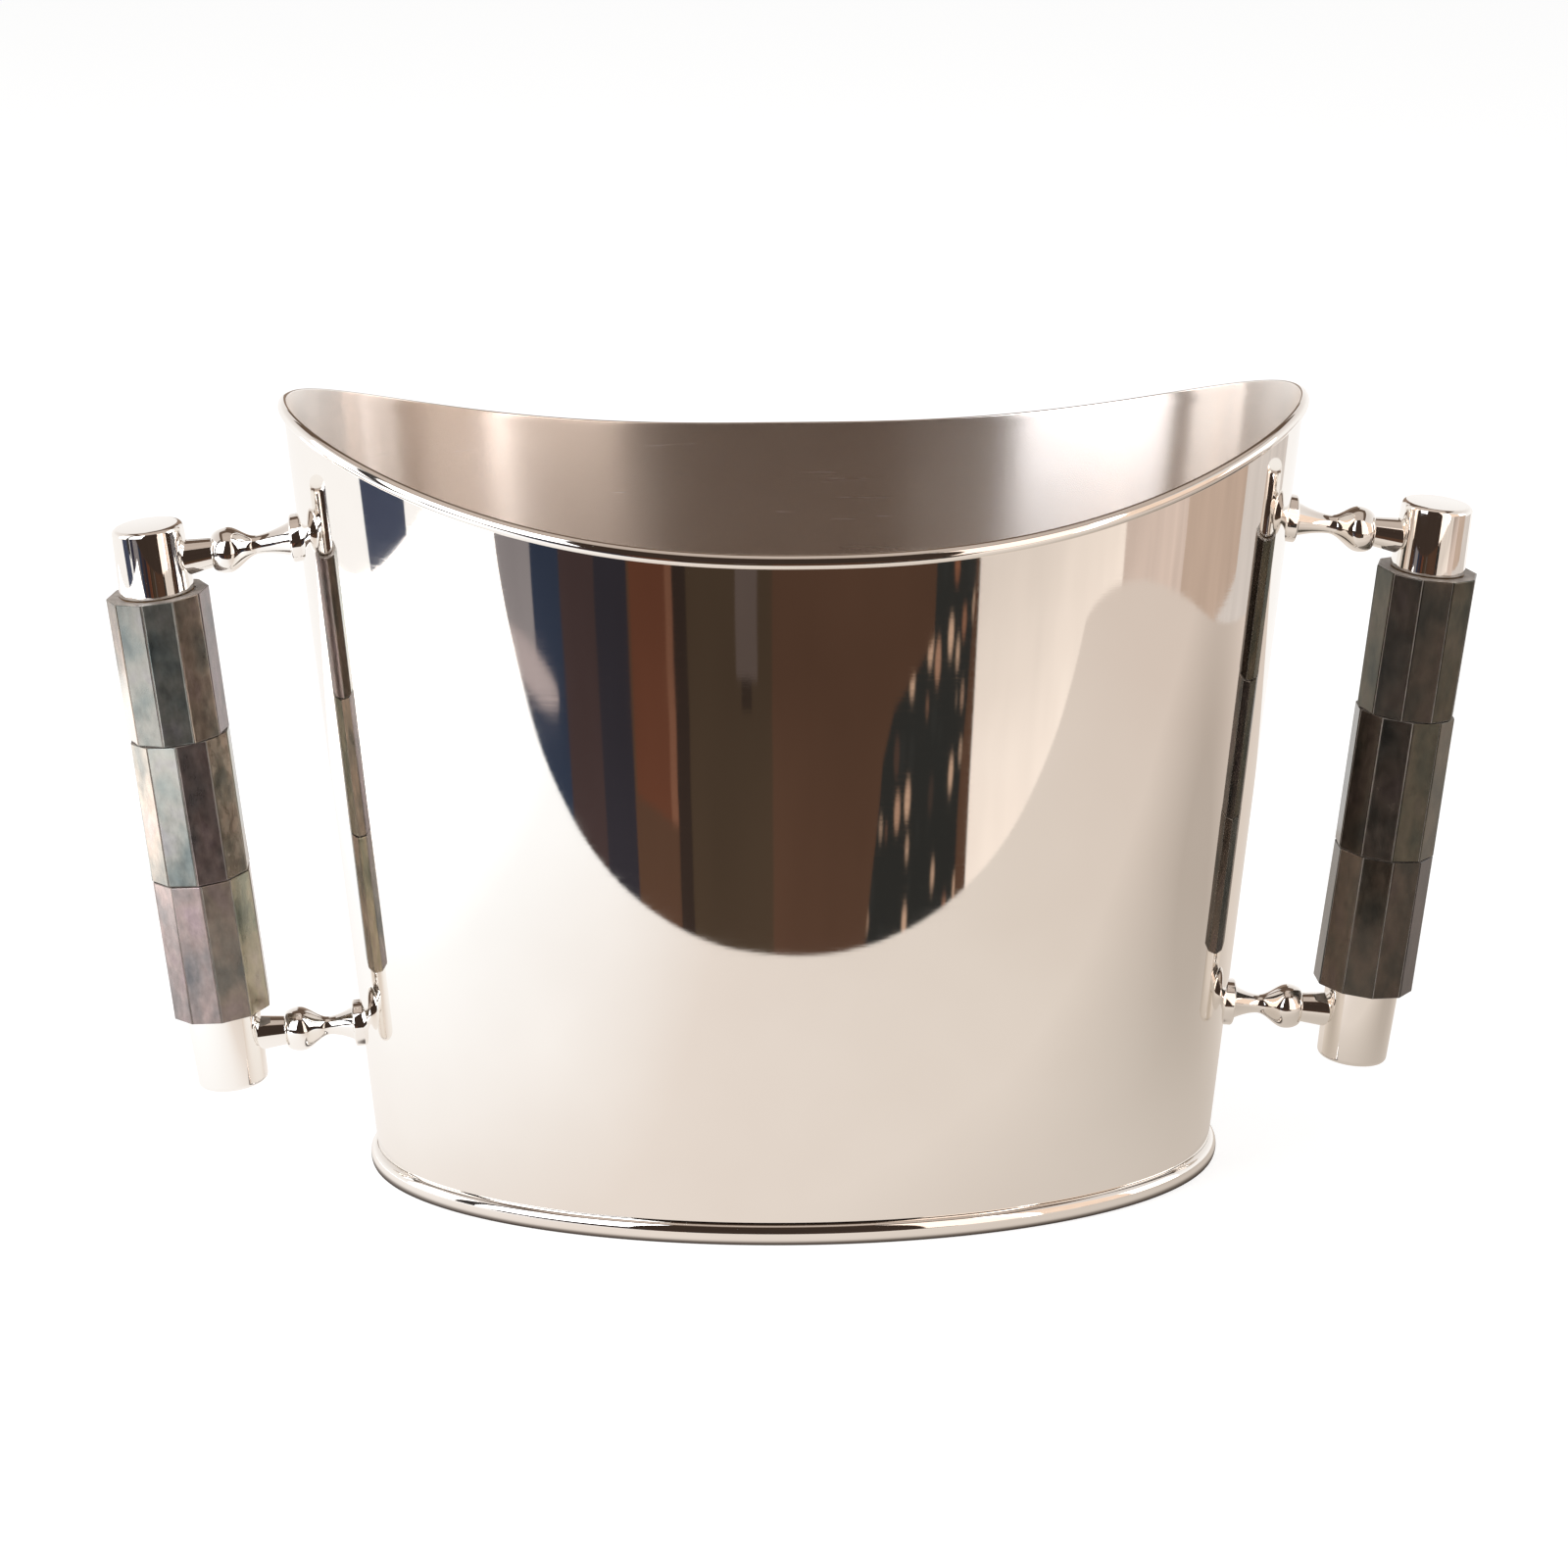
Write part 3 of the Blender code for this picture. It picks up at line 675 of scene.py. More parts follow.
def add_tile(work, layers, facing, middle, matrix, tones_and_painted_light, dice):
    """One flat tile with softened edges, tinted by itself with painted light, lighter on the left grip and
    darker on the right, and laid a little out of true.
    """
    half_tile = GRIP_APOTHEM * math.tan(math.pi / TILES_IN_ROW) - TILE_JOINT_WIDTH / 2
    lay = Matrix.Rotation(math.radians(dice.uniform(-TILE_TILT, TILE_TILT)), 4, "Y")
    lay = lay @ Matrix.Rotation(math.radians(dice.uniform(-TILE_TWIST, TILE_TWIST)), 4, "Z")
    out = Matrix.Translation((GRIP_APOTHEM - TILE_SINK, 0, middle))
    place = matrix @ Matrix.Rotation(facing, 4, "Z") @ out
    # The tile's colour is one of the shell's tints times a brightness from its side's range, which holds
    # painted light.
    tint_and_painted_light = Vector(dice.choice(SHELL_TINTS)) * dice.uniform(*tones_and_painted_light)
    shift = Vector((dice.uniform(0, SHELL_SHIFT), dice.uniform(0, SHELL_SHIFT)))
    size = Matrix.Diagonal((TILE_PROUD, 2 * half_tile, TILE_LENGTH, 1))
    seat = Matrix.Translation((-TILE_PROUD / 2, 0, 0))
    made = bmesh.ops.create_cube(work, size=1, matrix=seat @ size)["verts"]
    edges = dict.fromkeys(edge for vert in made for edge in vert.link_edges
                          if all(end.co.x > -TILE_PROUD / 2 for end in edge.verts))
    bevelled = bmesh.ops.bevel(work, geom=list(edges), offset=TILE_BEVEL, segments=BEVEL_STEPS, profile=0.5,
                               affect="EDGES")
    verts = {vert for vert in made if vert.is_valid} | set(bevelled["verts"])
    for vert in verts:
        local = vert.co.copy()
        vert[layers["tint_and_painted_light"]] = (*tint_and_painted_light, 1.0)
        for loop in vert.link_loops:
            loop[layers["tile"]].uv = Vector((local.y, local.z)) + shift
        vert.co = place @ lay @ local


def add_backing(work, turn, low, high, matrix):
    """The ring of resin that the tiles of a row are bedded in."""
    corner = GRIP_APOTHEM / math.cos(math.pi / TILES_IN_ROW) - TILE_JOINT_DEPTH
    inner = CORE_RADIUS + SEAT
    rings = []
    for radius, height in ((inner, low), (corner, low), (corner, high), (inner, high)):
        corners = []
        for k in range(TILES_IN_ROW):
            angle = math.radians(turn) + math.pi / TILES_IN_ROW * (2 * k + 1)
            point = Vector((radius * math.cos(angle), radius * math.sin(angle), height))
            corners.append(work.verts.new(matrix @ point))
        rings.append(corners)
    for first, second in zip(rings, rings[1:] + rings[:1]):
        for k in range(TILES_IN_ROW):
            after = (k + 1) % TILES_IN_ROW
            work.faces.new([first[k], first[after], second[after], second[k]]).material_index = 1


def make_tile_row(side, row, shell, resin, dice):
    index = TILE_ROWS.index(row)
    turn = TILE_ROW_TURN[index]
    low = SLEEVE_BOTTOM + SEAT + index * (TILE_LENGTH + SEAT)
    matrix = grip_matrix(side)
    work = bmesh.new()
    layers = {
        "tint_and_painted_light": work.verts.layers.float_color.new("tint_and_painted_light"),
        "tile": work.loops.layers.uv.new("tile"),
    }
    for k in range(TILES_IN_ROW):
        facing = math.radians(turn) + 2 * math.pi * k / TILES_IN_ROW
        add_tile(work, layers, facing, low + TILE_LENGTH / 2, matrix, SHELL_TONES_AND_PAINTED_LIGHT[side], dice)
    add_backing(work, turn, low, low + TILE_LENGTH, matrix)
    bmesh.ops.recalc_face_normals(work, faces=work.faces)
    name = f"{side}_{row}_tiles"
    mesh = bpy.data.meshes.new(f"{name}_laid")
    work.to_mesh(mesh)
    work.free()
    add_piece(f"{name}_laid", mesh, name, "dark_shell", shell, resin)


def seal_seat(height):
    """How far inside the wall's outer face the seal lies, at the hollow end of the oval."""
    end_width = half_width(height) - WALL / 2
    end_depth = half_depth(height) - WALL / 2
    hollow = end_width * (1 - math.sqrt(1 - (SEAL_RADIUS / end_depth) ** 2))
    return WALL + hollow + SEAT


def cut_slot(mesh, matrix):
    """A screwdriver slot across the head, cut with a thin bar."""
    cutter_mesh = bpy.data.meshes.new("slot_bar")
    work = bmesh.new()
    bar = Matrix.Diagonal((SLOT_WIDTH, 3 * SCREW_HEAD_RADIUS, 2 * SLOT_DEPTH, 1))
    crown = Matrix.Translation((0, 0, -SCREW_HEAD_HEIGHT))
    bmesh.ops.create_cube(work, size=1, matrix=matrix @ crown @ bar)
    work.to_mesh(cutter_mesh)
    work.free()
    cutter = bpy.data.objects.new("slot_bar", cutter_mesh)
    head = bpy.data.objects.new("slot_head", mesh)
    for obj in (cutter, head):
        bpy.context.scene.collection.objects.link(obj)
    boolean = head.modifiers.new("slot", "BOOLEAN")
    boolean.operation = "DIFFERENCE"
    boolean.solver = "EXACT"
    boolean.object = cutter
    bpy.context.view_layer.update()
    evaluated = head.evaluated_get(bpy.context.evaluated_depsgraph_get())
    result = bpy.data.meshes.new_from_object(evaluated)
    for obj in (cutter, head):
        bpy.data.objects.remove(obj)
    result.set_sharp_from_angle(angle=SHARP_ANGLE)
    return result


def make_fastening(side, level, steel, rubber):
    """The slotted screw and the seal that hold a post from inside the bucket."""
    depth = seal_seat((POST_HEIGHT[level] - HANDLE_DROP[side]) * math.cos(WALL_TILT))
    seal_start = -(depth + SEAL_THICKNESS)
    outer = SEAL_RADIUS - SEAL_EDGE
    seal = [(SCREW_HOLE, 0)]
    seal += arc((outer, SEAL_EDGE), SEAL_EDGE, -90, 0, EDGE_STEPS)
    seal += arc((outer, SEAL_THICKNESS - SEAL_EDGE), SEAL_EDGE, 0, 90, EDGE_STEPS)
    seal.append((SCREW_HOLE, SEAL_THICKNESS))
    name = f"{side}_{level}_seal"
    rings = lathe_rings(seal, POST_STEPS, post_matrix(side, level, seal_start))
    add_piece(f"{name}_washer", ring_mesh(f"{name}_washer", rings, True), name, "seal_rubber", rubber)

    matrix = post_matrix(side, level, seal_start - SEAT)
    tip = depth + SEAL_THICKNESS + SEAT + SCREW_REACH
    screw = [(0, tip), (SCREW_RADIUS - SCREW_CHAMFER, tip), (SCREW_RADIUS, tip - SCREW_CHAMFER)]
    screw += [(SCREW_RADIUS, 0), (SCREW_HEAD_RADIUS, 0)]
    for share in shares(EDGE_STEPS)[1:-1]:
        turn = math.pi / 2 * share
        screw.append((SCREW_HEAD_RADIUS * math.cos(turn), -SCREW_HEAD_HEIGHT * math.sin(turn)))
    screw.append((0, -SCREW_HEAD_HEIGHT))
    name = f"{side}_{level}_screw"
    mesh = cut_slot(ring_mesh(f"{name}_slotted", lathe_rings(screw, POST_STEPS, matrix)), matrix)
    add_piece(f"{name}_slotted", mesh, name, "steel", steel)


def make_handle(side, materials, dice):
    for level in ("upper", "lower"):
        make_post(side, level, materials["silver"])
        make_ferrule(side, level, materials["silver"])
        make_fastening(side, level, materials["steel"], materials["rubber"])
    for row in TILE_ROWS:
        make_tile_row(side, row, materials["shell"], materials["resin"], dice)
    for node, material in (("grip_core", "wood"), ("tie_rod", "steel")):
        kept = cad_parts[f"{side}_{node}"]
        kept.data.materials.clear()
        kept.data.materials.append(materials[material])


# Studio: a white floor, soft light, and the cards that the silver mirrors

WHITE = (1.0, 1.0, 1.0)
STUDIO_FLOOR_HALF = 4.0

# The tabletop, with its shades of painted light along it from left to right, the bucket's painted shadow on
# its shaded side and a painted shadow ring as its dark edge at the foot
TABLE_LEVEL = -2.0 * MM
TABLE_LEFT = -0.655
TABLE_RIGHT = 0.606
TABLE_FRONT = 0.283
TABLE_BACK = 0.37
TABLE_BOW_LEFT = 0.70
TABLE_BOW_RIGHT = 0.62
TABLE_STEPS = 60
CORNER_MIDDLE = (0.45, -0.13)
TONE_REACH = 0.5
TABLE_TONES = [
    (0.09, (2.90, 2.80, 2.72)),
    (0.15, (1.32, 1.32, 1.33)),
    (0.22, (1.09, 1.10, 1.11)),
    (0.34, (1.00, 0.965, 0.94)),
    (0.43, (0.86, 0.78, 0.72)),
    (0.55, (0.80, 0.72, 0.655)),
    (0.70, (0.78, 0.70, 0.63)),
    (1.0, (0.72, 0.62, 0.55)),
]
# Painted shadow of the bucket on the table, beside it to the right
SHADE_PLACE = (0.36, -0.02, 0.0)
SHADE_SIZE = (0.42, 0.16, 1.0)
SHADE_TONES = [(0.0, WHITE), (0.75, (0.68, 0.67, 0.655))]
# Painted shadow: a dark ring on the table round the bucket's foot
CONTACT_SHADOW_SIZE = (0.1304, 0.0758, 1.0)
CONTACT_SHADOW_REACH = 1.08
CONTACT_SHADOW_TONES = [
    (0.0, (0.10, 0.09, 0.085)),
    (0.25, (0.30, 0.28, 0.27)),
    (0.6, (0.9, 0.9, 0.9)),
    (1.0, WHITE),
]

# The rug beside the table: across and back
RUG_EDGE = [(TABLE_LEFT, -0.245), (TABLE_LEFT, -0.07), (-1.1, -0.05), (-1.1, -0.42)]
RUG_COLOUR = (0.06, 0.07, 0.11)

# Edges that the room's cards share
ROOM_DEPTH = -0.8
ROOM_STEP = 0.01
ROOM_LEFT = -1.4
ROOM_RIGHT = 0.424
ROOM_END = 2.4
ROOM_FOOT = -0.75
ROOM_SPLIT = 0.02
ROOM_TOP = 1.3
CEILING = 1.5
DUSK_LEFT = -0.425
DUSK_RIGHT = 0.325
LIGHT_FOOT = 0.2
LIGHT_TOP = 1.4
LAMP_FOOT_TOP = -0.097
DOOR_FOOT = -0.185
WINDOW_LEFT = 0.68
BACK_DEPTH = 1.2
BACK_SPLIT = 0.95
RIGHT_NEAR = (ROOM_END, ROOM_DEPTH)
RIGHT_FAR = (2.7, 0.3)
ROOM_BROWN = (0.045, 0.030, 0.023)
DUSK_BROWN = (0.13, 0.088, 0.064)

# Light in the room: how uneven it is, and how much it lifts what stands low
UNEVEN_SCALE = 5.0
UNEVEN_LOW = 0.8
UNEVEN_HIGH = 1.2
LOW_LIFT = 1.5
ROOM_LIGHT_LOW = -0.32
ROOM_LIGHT_HIGH = -0.10

# Cards in front of the bucket: left, right, bottom, top, steps in front of the room's wall, and colour
ROOM_CARDS = {
    "room_card": (ROOM_LEFT, ROOM_RIGHT, ROOM_FOOT, ROOM_SPLIT, 0, (0.078, 0.041, 0.026)),
    "navy_drape": (ROOM_LEFT, -0.71, ROOM_FOOT, ROOM_SPLIT, 1, (0.030, 0.028, 0.042)),
    "blue_drape": (-0.71, -0.56, ROOM_FOOT, ROOM_SPLIT, 1, (0.026, 0.034, 0.056)),
    "brown_drape": (-0.56, -0.445, ROOM_FOOT, ROOM_SPLIT, 1, (0.050, 0.032, 0.031)),
    "dark_drape": (-0.445, -0.355, ROOM_FOOT, ROOM_SPLIT, 1, (0.027, 0.024, 0.030)),
    "wood_door": (-0.348, -0.262, DOOR_FOOT, ROOM_SPLIT, 1, (0.106, 0.040, 0.023)),
    "door_trim": (-0.262, -0.246, DOOR_FOOT, ROOM_SPLIT, 1, (0.165, 0.074, 0.045)),
    "door_edge": (-0.246, -0.215, ROOM_FOOT, ROOM_SPLIT, 1, (0.030, 0.020, 0.016)),
    "cabinet": (-0.215, -0.037, ROOM_FOOT, ROOM_SPLIT, 1, (0.056, 0.037, 0.024)),
    "lamp_stand": (-0.110, -0.066, LAMP_FOOT_TOP, ROOM_SPLIT, 2, (0.095, 0.070, 0.060)),
    "lamp_foot": (-0.099, -0.078, -0.112, LAMP_FOOT_TOP, 2, (0.034, 0.023, 0.017)),
    "grey_cupboard": (-1.02, -0.665, -0.205, ROOM_SPLIT, 2, (0.22, 0.198, 0.20)),
    "upper_room_card": (DUSK_LEFT, DUSK_RIGHT, ROOM_SPLIT, CEILING, 0, ROOM_BROWN),
    "left_low_card": (-1.3, DUSK_LEFT, ROOM_SPLIT, LIGHT_FOOT, 0, ROOM_BROWN),
    "left_light_card": (-1.6, DUSK_LEFT, LIGHT_FOOT, LIGHT_TOP, 0, (3.7, 3.8, 4.0)),
    "right_wall_card": (ROOM_RIGHT, ROOM_END, ROOM_FOOT, ROOM_SPLIT, 0, (0.75, 0.66, 0.59)),
    "right_corner_card": (1.12, ROOM_END, ROOM_FOOT, ROOM_SPLIT, 1, (0.46, 0.37, 0.32)),
    "upper_right_card": (DUSK_RIGHT, ROOM_END, ROOM_SPLIT, ROOM_TOP, 0, (0.98, 0.76, 0.61)),
    "window_jamb_card": (DUSK_RIGHT, WINDOW_LEFT, ROOM_SPLIT, ROOM_TOP, 1, (1.50, 1.25, 1.09)),
    "window_card": (WINDOW_LEFT, 0.79, ROOM_SPLIT, ROOM_TOP, 1, (4.3, 3.95, 3.75)),
}

# Cards behind the bucket: left, right, bottom, top and colour
BACK_CARDS = {
    "back_high_card": (-0.45, 0.45, BACK_SPLIT, CEILING, DUSK_BROWN),
    "back_low_card": (-0.32, 0.32, 0.3, BACK_SPLIT, (0.30, 0.22, 0.17)),
}

# Upright cards beside the bucket: near end, far end, bottom, top and colour
SIDE_CARDS = {
    "left_side_card": ((-1.6, ROOM_DEPTH), (-1.9, 0.3), 0.1, LIGHT_TOP, (2.9, 2.8, 2.75)),
    "right_low_card": (RIGHT_NEAR, RIGHT_FAR, ROOM_FOOT, ROOM_SPLIT, (0.37, 0.28, 0.225)),
    "right_side_card": (RIGHT_NEAR, RIGHT_FAR, ROOM_SPLIT, ROOM_TOP, (2.3, 2.1, 1.98)),
    "right_far_card": ((2.45, ROOM_DEPTH), (3.49, 3.0), -1.5, -0.5, (0.455, 0.413, 0.385)),
    "pole_card": ((-0.850, -0.270), (-0.750, -0.350), 0.0, 1.2, (0.05, 0.045, 0.045)),
}

# Level cards above the bucket: left, right, front, back, height and colour
LEVEL_CARDS = {
    "ceiling_card": (-1.0, 1.0, ROOM_DEPTH, BACK_DEPTH, CEILING, DUSK_BROWN),
    "halo_card": (-0.35, 0.35, -0.25, 0.15, 0.6, (0.56, 0.47, 0.41)),
}

# The pale cushion in the room
CUSHION_ACROSS = -0.692
CUSHION_HEIGHT = -0.194
CUSHION_HALF_LENGTH = 0.118
CUSHION_HALF_THICKNESS = 0.0145
CUSHION_SLOPE = 0.125
CUSHION_STEPS = 32
CUSHION_COLOUR = (0.36, 0.30, 0.295)

# The dark screen with pale drops at the right of the room. Its outline goes across and up.
SCREEN_EDGE = [(0.316, ROOM_SPLIT), (0.305, -0.103), (0.219, -0.125), (0.195, -0.148), (0.186, -0.180),
               (0.165, -0.230), (0.165, ROOM_FOOT), (0.385, ROOM_FOOT), (0.388, -0.200), (0.408, -0.090),
               (0.408, ROOM_SPLIT)]
SCREEN_COLOUR = (0.026, 0.026, 0.024)
DROP_SCALE = (46, 26, 32)
DROP_EDGE = [(0.24, (1.0, 1.0, 1.0)), (0.40, (0.0, 0.0, 0.0))]
DROP_TONES = [(0.40, (0.03, 0.03, 0.028)), (0.50, (0.22, 0.09, 0.05)), (0.75, (0.55, 0.36, 0.25))]

# Soft boxes: place, size, power and colour
SOFT_BOXES = {
    "key_left": ((-1.3, -0.7, 1.3), 1.2, 21.0, (1.0, 0.985, 0.97)),
    "fill_right": ((1.3, -0.9, 1.2), 1.2, 3.0, (1.0, 0.97, 0.94)),
    "top": ((0.0, 0.5, 1.8), 1.4, 8.0, WHITE),
}
LIGHT_TARGET = Vector((0, 0, 0.12))


def add_stage(name, points, faces, material):
    mesh = bpy.data.meshes.new(name)
    mesh.from_pydata(points, [], faces)
    mesh.materials.append(material)
    obj = bpy.data.objects.new(name, mesh)
    bpy.context.scene.collection.objects.link(obj)
    return obj


def add_card(name, corners, material):
    """A card that the silver mirrors, and that neither shows nor throws light or shadow."""
    card = add_stage(name, corners, [tuple(range(len(corners)))], material)
    card.visible_camera = False
    card.visible_diffuse = False
    card.visible_transmission = False
    card.visible_volume_scatter = False
    card.visible_shadow = False


def add_upright(name, near, far, bottom, top, material):
    """A card that stands on the line between two places, each given across and back."""
    add_card(name, [(*near, bottom), (*far, bottom), (*far, top), (*near, top)], material)


def glow_material(name):
    """A material that only gives off light, its node tree and its emission shader."""
    material, tree, shader = new_material(name)
    tree.nodes.remove(shader)
    glow = add_node(tree, "ShaderNodeEmission")
    tree.links.new(glow.outputs[0], tree.nodes["Material Output"].inputs["Surface"])
    material.cycles.emission_sampling = "NONE"
    return material, tree, glow


def plain_glow(name, colour):
    """One colour, a little uneven and lighter towards its foot, as a lit thing in a room is."""
    material, tree, glow = glow_material(f"{name}_glow")
    coords = object_coords(tree)
    height = add_node(tree, "ShaderNodeSeparateXYZ", {"Vector": coords}).outputs["Z"]
    uneven = remap(tree, noise(tree, coords, UNEVEN_SCALE), UNEVEN_LOW, UNEVEN_HIGH)
    lift = remap(tree, height, LOW_LIFT, 1.0, ROOM_LIGHT_LOW, ROOM_LIGHT_HIGH)
    light = combine(tree, uneven, lift, "MULTIPLY")
    tree.links.new(multiply_colours(tree, (*colour, 1.0), light), glow.inputs["Color"])
    return material


def make_floor_plane():
    """White to the camera, with the bucket's soft shadow."""
    def diffuse(level):
        return add_node(tree, "ShaderNodeBsdfDiffuse", {"Color": (level, level, level, 1.0)}).outputs[0]

    material, tree, shader = new_material("white_floor")
    tree.nodes.remove(shader)
    glow = add_node(tree, "ShaderNodeEmission", {"Color": (0.75, 0.75, 0.75, 1.0)}).outputs[0]
    seen = add_node(tree, "ShaderNodeAddShader", {0: diffuse(0.40), 1: glow}).outputs[0]
    camera = add_node(tree, "ShaderNodeLightPath").outputs["Is Camera Ray"]
    mix = add_node(tree, "ShaderNodeMixShader", {0: camera, 1: diffuse(0.50), 2: seen})
    tree.links.new(mix.outputs[0], tree.nodes["Material Output"].inputs["Surface"])
    material.cycles.emission_sampling = "NONE"
    half = STUDIO_FLOOR_HALF
    corners = [(-half, -half, 0), (half, -half, 0), (half, half, 0), (-half, half, 0)]
    floor = add_stage("studio_floor", corners, [(0, 1, 2, 3)], material)
    floor.visible_glossy = False


def fit_oval(tree, coords, size, place=(0.0, 0.0, 0.0)):
    """Coordinates in which an oval of that size at that place is the unit circle."""
    inputs = {"Vector": coords, "Location": place, "Scale": size}
    return add_node(tree, "ShaderNodeMapping", inputs, vector_type="TEXTURE").outputs["Vector"]


def make_table_material():
    """Painted light: white on the left, warmer and dimmer to the right, with the bucket's painted shadow
    beside it and a dark painted shadow ring at its foot.
    """
    material, tree, glow = glow_material("table_glow")
    coords = object_coords(tree)
    across = add_node(tree, "ShaderNodeSeparateXYZ", {"Vector": coords}).outputs["X"]
    tone = ramp(tree, remap(tree, across, 0.0, 1.0, -TONE_REACH, TONE_REACH), TABLE_TONES)
    # The bucket's painted shadow beside it
    beside = {"Vector": fit_oval(tree, coords, SHADE_SIZE, SHADE_PLACE)}
    soft = add_node(tree, "ShaderNodeTexGradient", beside, gradient_type="SPHERICAL").outputs["Fac"]
    # A painted shadow ring round the bucket's foot
    foot = {0: fit_oval(tree, coords, CONTACT_SHADOW_SIZE)}
    reach = add_node(tree, "ShaderNodeVectorMath", foot, operation="LENGTH").outputs["Value"]
    painted_contact_shadow = ramp(tree, remap(tree, reach, 0.0, 1.0, 1.0, CONTACT_SHADOW_REACH), CONTACT_SHADOW_TONES)
    lit = multiply_colours(tree, tone, ramp(tree, soft, SHADE_TONES))
    tree.links.new(multiply_colours(tree, lit, painted_contact_shadow), glow.inputs["Color"])
    return material


def table_reach(x):
    """How far the tabletop's bowed front edge lies in front of the bucket's middle."""
    bow = TABLE_BOW_LEFT if x < 0 else TABLE_BOW_RIGHT
    return TABLE_FRONT + bow * x * x


def table_outline():
    """The bowed front edge, the rounded corner at its right end, and the straight back."""
    corner_x, corner_y = CORNER_MIDDLE
    outline = []
    for share in shares(TABLE_STEPS):
        x = TABLE_LEFT + (corner_x - TABLE_LEFT) * share
        outline.append((x, -table_reach(x)))
    corner_depth = corner_y + table_reach(corner_x)
    for share in shares(CURVE_STEPS)[1:]:
        turn = math.pi / 2 * (share - 1)
        x = corner_x + (TABLE_RIGHT - corner_x) * math.cos(turn)
        outline.append((x, corner_y + corner_depth * math.sin(turn)))
    return outline + [(TABLE_RIGHT, TABLE_BACK), (TABLE_LEFT, TABLE_BACK)]


def make_table():
    """The lit tabletop and the rug beside it, as the silver mirrors them."""
    add_card("table_card", [(x, y, TABLE_LEVEL) for x, y in table_outline()], make_table_material())
    add_card("rug_card", [(x, y, TABLE_LEVEL) for x, y in RUG_EDGE], plain_glow("rug", RUG_COLOUR))


def make_screen():
    material, tree, glow = glow_material("screen_glow")
    place = stretch(tree, object_coords(tree), DROP_SCALE)
    cells = add_node(tree, "ShaderNodeTexVoronoi", {"Vector": place, "Scale": 1.0})
    drop = ramp(tree, cells.outputs["Distance"], DROP_EDGE)
    pick = add_node(tree, "ShaderNodeSeparateColor", {"Color": cells.outputs["Color"]}).outputs[0]
    tone = blend_colour(tree, drop, (*SCREEN_COLOUR, 1.0), ramp(tree, pick, DROP_TONES))
    tree.links.new(tone, glow.inputs["Color"])
    add_card("drop_screen", [(across, ROOM_DEPTH + ROOM_STEP, up) for across, up in SCREEN_EDGE], material)


def make_cushion():
    outline = []
    for k in range(CUSHION_STEPS):
        turn = 2 * math.pi * k / CUSHION_STEPS
        along = CUSHION_HALF_LENGTH * math.cos(turn)
        rise = CUSHION_SLOPE * along + CUSHION_HALF_THICKNESS * math.sin(turn)
        outline.append((CUSHION_ACROSS + along, ROOM_DEPTH + 3 * ROOM_STEP, CUSHION_HEIGHT + rise))
    add_card("pale_cushion", outline, plain_glow("cushion", CUSHION_COLOUR))


def make_room():
    """The dim brown room in front of the table, with a few things in it and light from both sides."""
    for name, (left, right, bottom, top, steps, colour) in ROOM_CARDS.items():
        depth = ROOM_DEPTH + steps * ROOM_STEP
        add_upright(name, (left, depth), (right, depth), bottom, top, plain_glow(name, colour))
    for name, (left, right, bottom, top, colour) in BACK_CARDS.items():
        add_upright(name, (left, BACK_DEPTH), (right, BACK_DEPTH), bottom, top, plain_glow(name, colour))
    for name, (near, far, bottom, top, colour) in SIDE_CARDS.items():
        add_upright(name, near, far, bottom, top, plain_glow(name, colour))
    for name, (left, right, front, back, height, colour) in LEVEL_CARDS.items():
        outline = [(left, front), (right, front), (right, back), (left, back)]
        add_card(name, [(x, y, height) for x, y in outline], plain_glow(name, colour))
    make_screen()
    make_cushion()


def make_lights():
    for name, (place, size, power, colour) in SOFT_BOXES.items():
        lamp = bpy.data.lights.new(name, "AREA")
        lamp.shape = "SQUARE"
        lamp.size = size
        lamp.energy = power
        lamp.color = colour
        obj = bpy.data.objects.new(name, lamp)
        bpy.context.scene.collection.objects.link(obj)
        obj.location = place
        obj.rotation_euler = (LIGHT_TARGET - Vector(place)).to_track_quat("-Z", "Y").to_euler()
        obj.visible_glossy = False


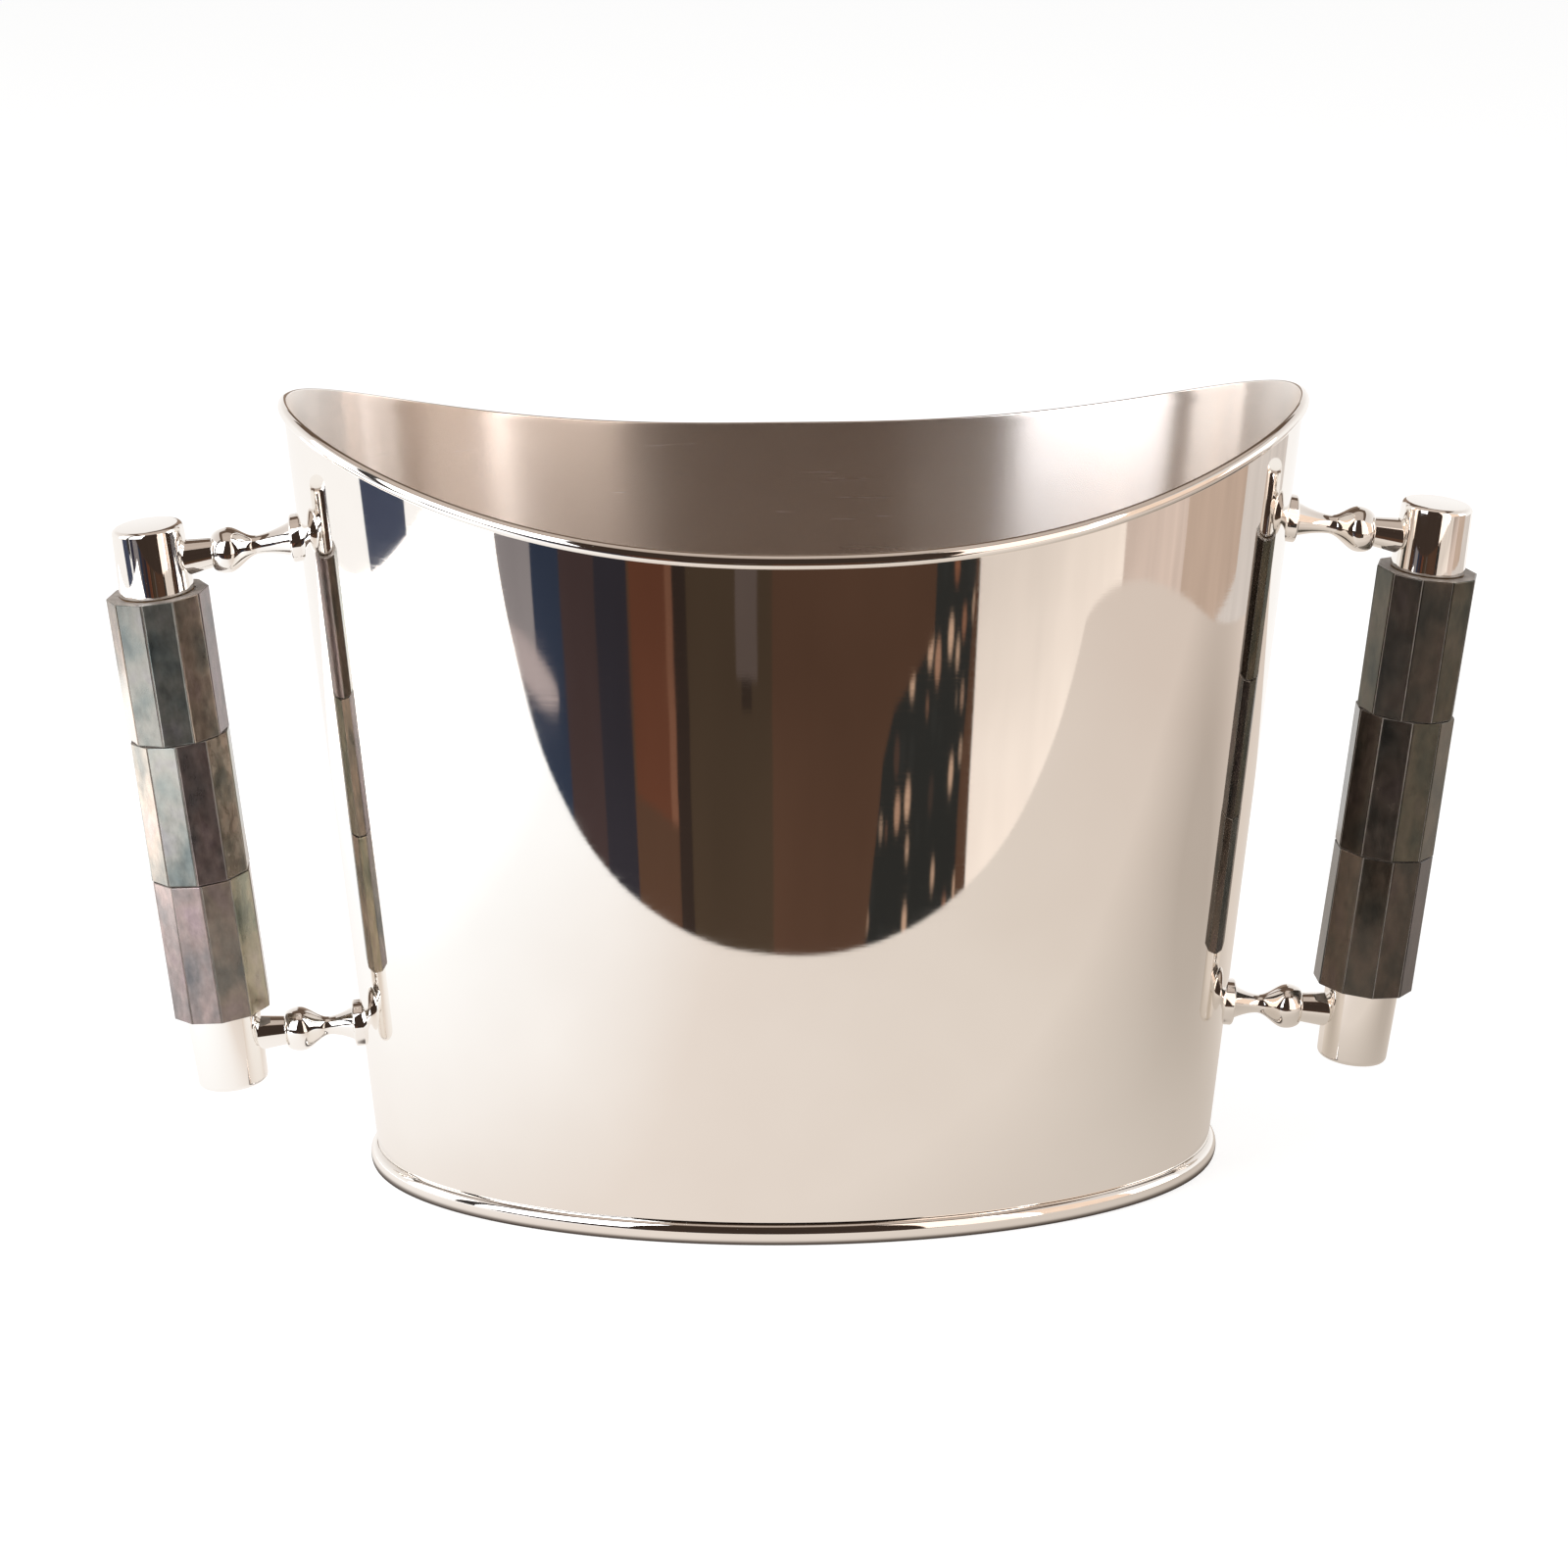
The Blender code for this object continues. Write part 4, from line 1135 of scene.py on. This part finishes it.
def make_world():
    """White behind the bucket, a white studio in its reflections, and an even fill."""
    world = bpy.data.worlds.new("studio")
    bpy.context.scene.world = world
    world.use_nodes = True
    tree = world.node_tree
    path = add_node(tree, "ShaderNodeLightPath").outputs
    fill = tree.nodes["Background"]
    fill.inputs["Color"].default_value = (0.48, 0.475, 0.47, 1.0)
    low_white = (1.02, 1.00, 0.985)
    high_tan = (0.74, 0.68, 0.64)
    aim = add_node(tree, "ShaderNodeTexCoord").outputs["Generated"]
    upward = add_node(tree, "ShaderNodeSeparateXYZ", {"Vector": aim}).outputs["Z"]
    studio = ramp(tree, upward, [(0.15, low_white), (0.75, high_tan)])
    mirrored = add_node(tree, "ShaderNodeBackground", {"Color": studio}).outputs[0]
    seen = add_node(tree, "ShaderNodeBackground", {"Color": (*WHITE, 1.0)}).outputs[0]
    by_glossy = {0: path["Is Glossy Ray"], 1: fill.outputs[0], 2: mirrored}
    unseen = add_node(tree, "ShaderNodeMixShader", by_glossy).outputs[0]
    by_camera = {0: path["Is Camera Ray"], 1: unseen, 2: seen}
    whole = add_node(tree, "ShaderNodeMixShader", by_camera).outputs[0]
    tree.links.new(whole, tree.nodes["World Output"].inputs["Surface"])


def make_camera():
    """A long lens a little above the rim, turned slightly to the left of the bucket's middle."""
    image_side = 1600
    focal_pixels = 5088.5
    distance = 1.5066
    elevation = math.radians(17.32)
    yaw = math.radians(2.29)
    target = Vector((-0.0032, 0, 0.1192))
    forward = Vector((0, math.cos(elevation), -math.sin(elevation)))
    turn = Matrix.Rotation(-yaw, 4, "Z")
    data = bpy.data.cameras.new("photo_camera")
    data.sensor_width = 36.0
    data.lens = data.sensor_width * focal_pixels / image_side
    camera = bpy.data.objects.new("photo_camera", data)
    bpy.context.scene.collection.objects.link(camera)
    camera.location = turn @ (target - distance * forward)
    camera.rotation_euler = (turn.to_3x3() @ forward).to_track_quat("-Z", "Y").to_euler()
    bpy.context.scene.camera = camera


def main():
    bpy.context.scene.view_settings.view_transform = "Standard"
    make_camera()
    materials = {
        "silver": make_polished_silver(),
        "satin": make_satin_silver(),
        "shell": make_shell(),
        "resin": make_resin(),
        "wood": make_wood(),
        "steel": make_steel(),
        "rubber": make_rubber(),
    }
    make_wall(materials["silver"], materials["satin"])
    make_rim(materials["silver"], materials["satin"])
    make_foot(materials["silver"])
    make_floor(materials["satin"])
    dice = random.Random(SHELL_SEED)
    for side in HANDLE_TURN:
        make_handle(side, materials, dice)
    make_floor_plane()
    make_table()
    make_room()
    make_lights()
    make_world()


main()
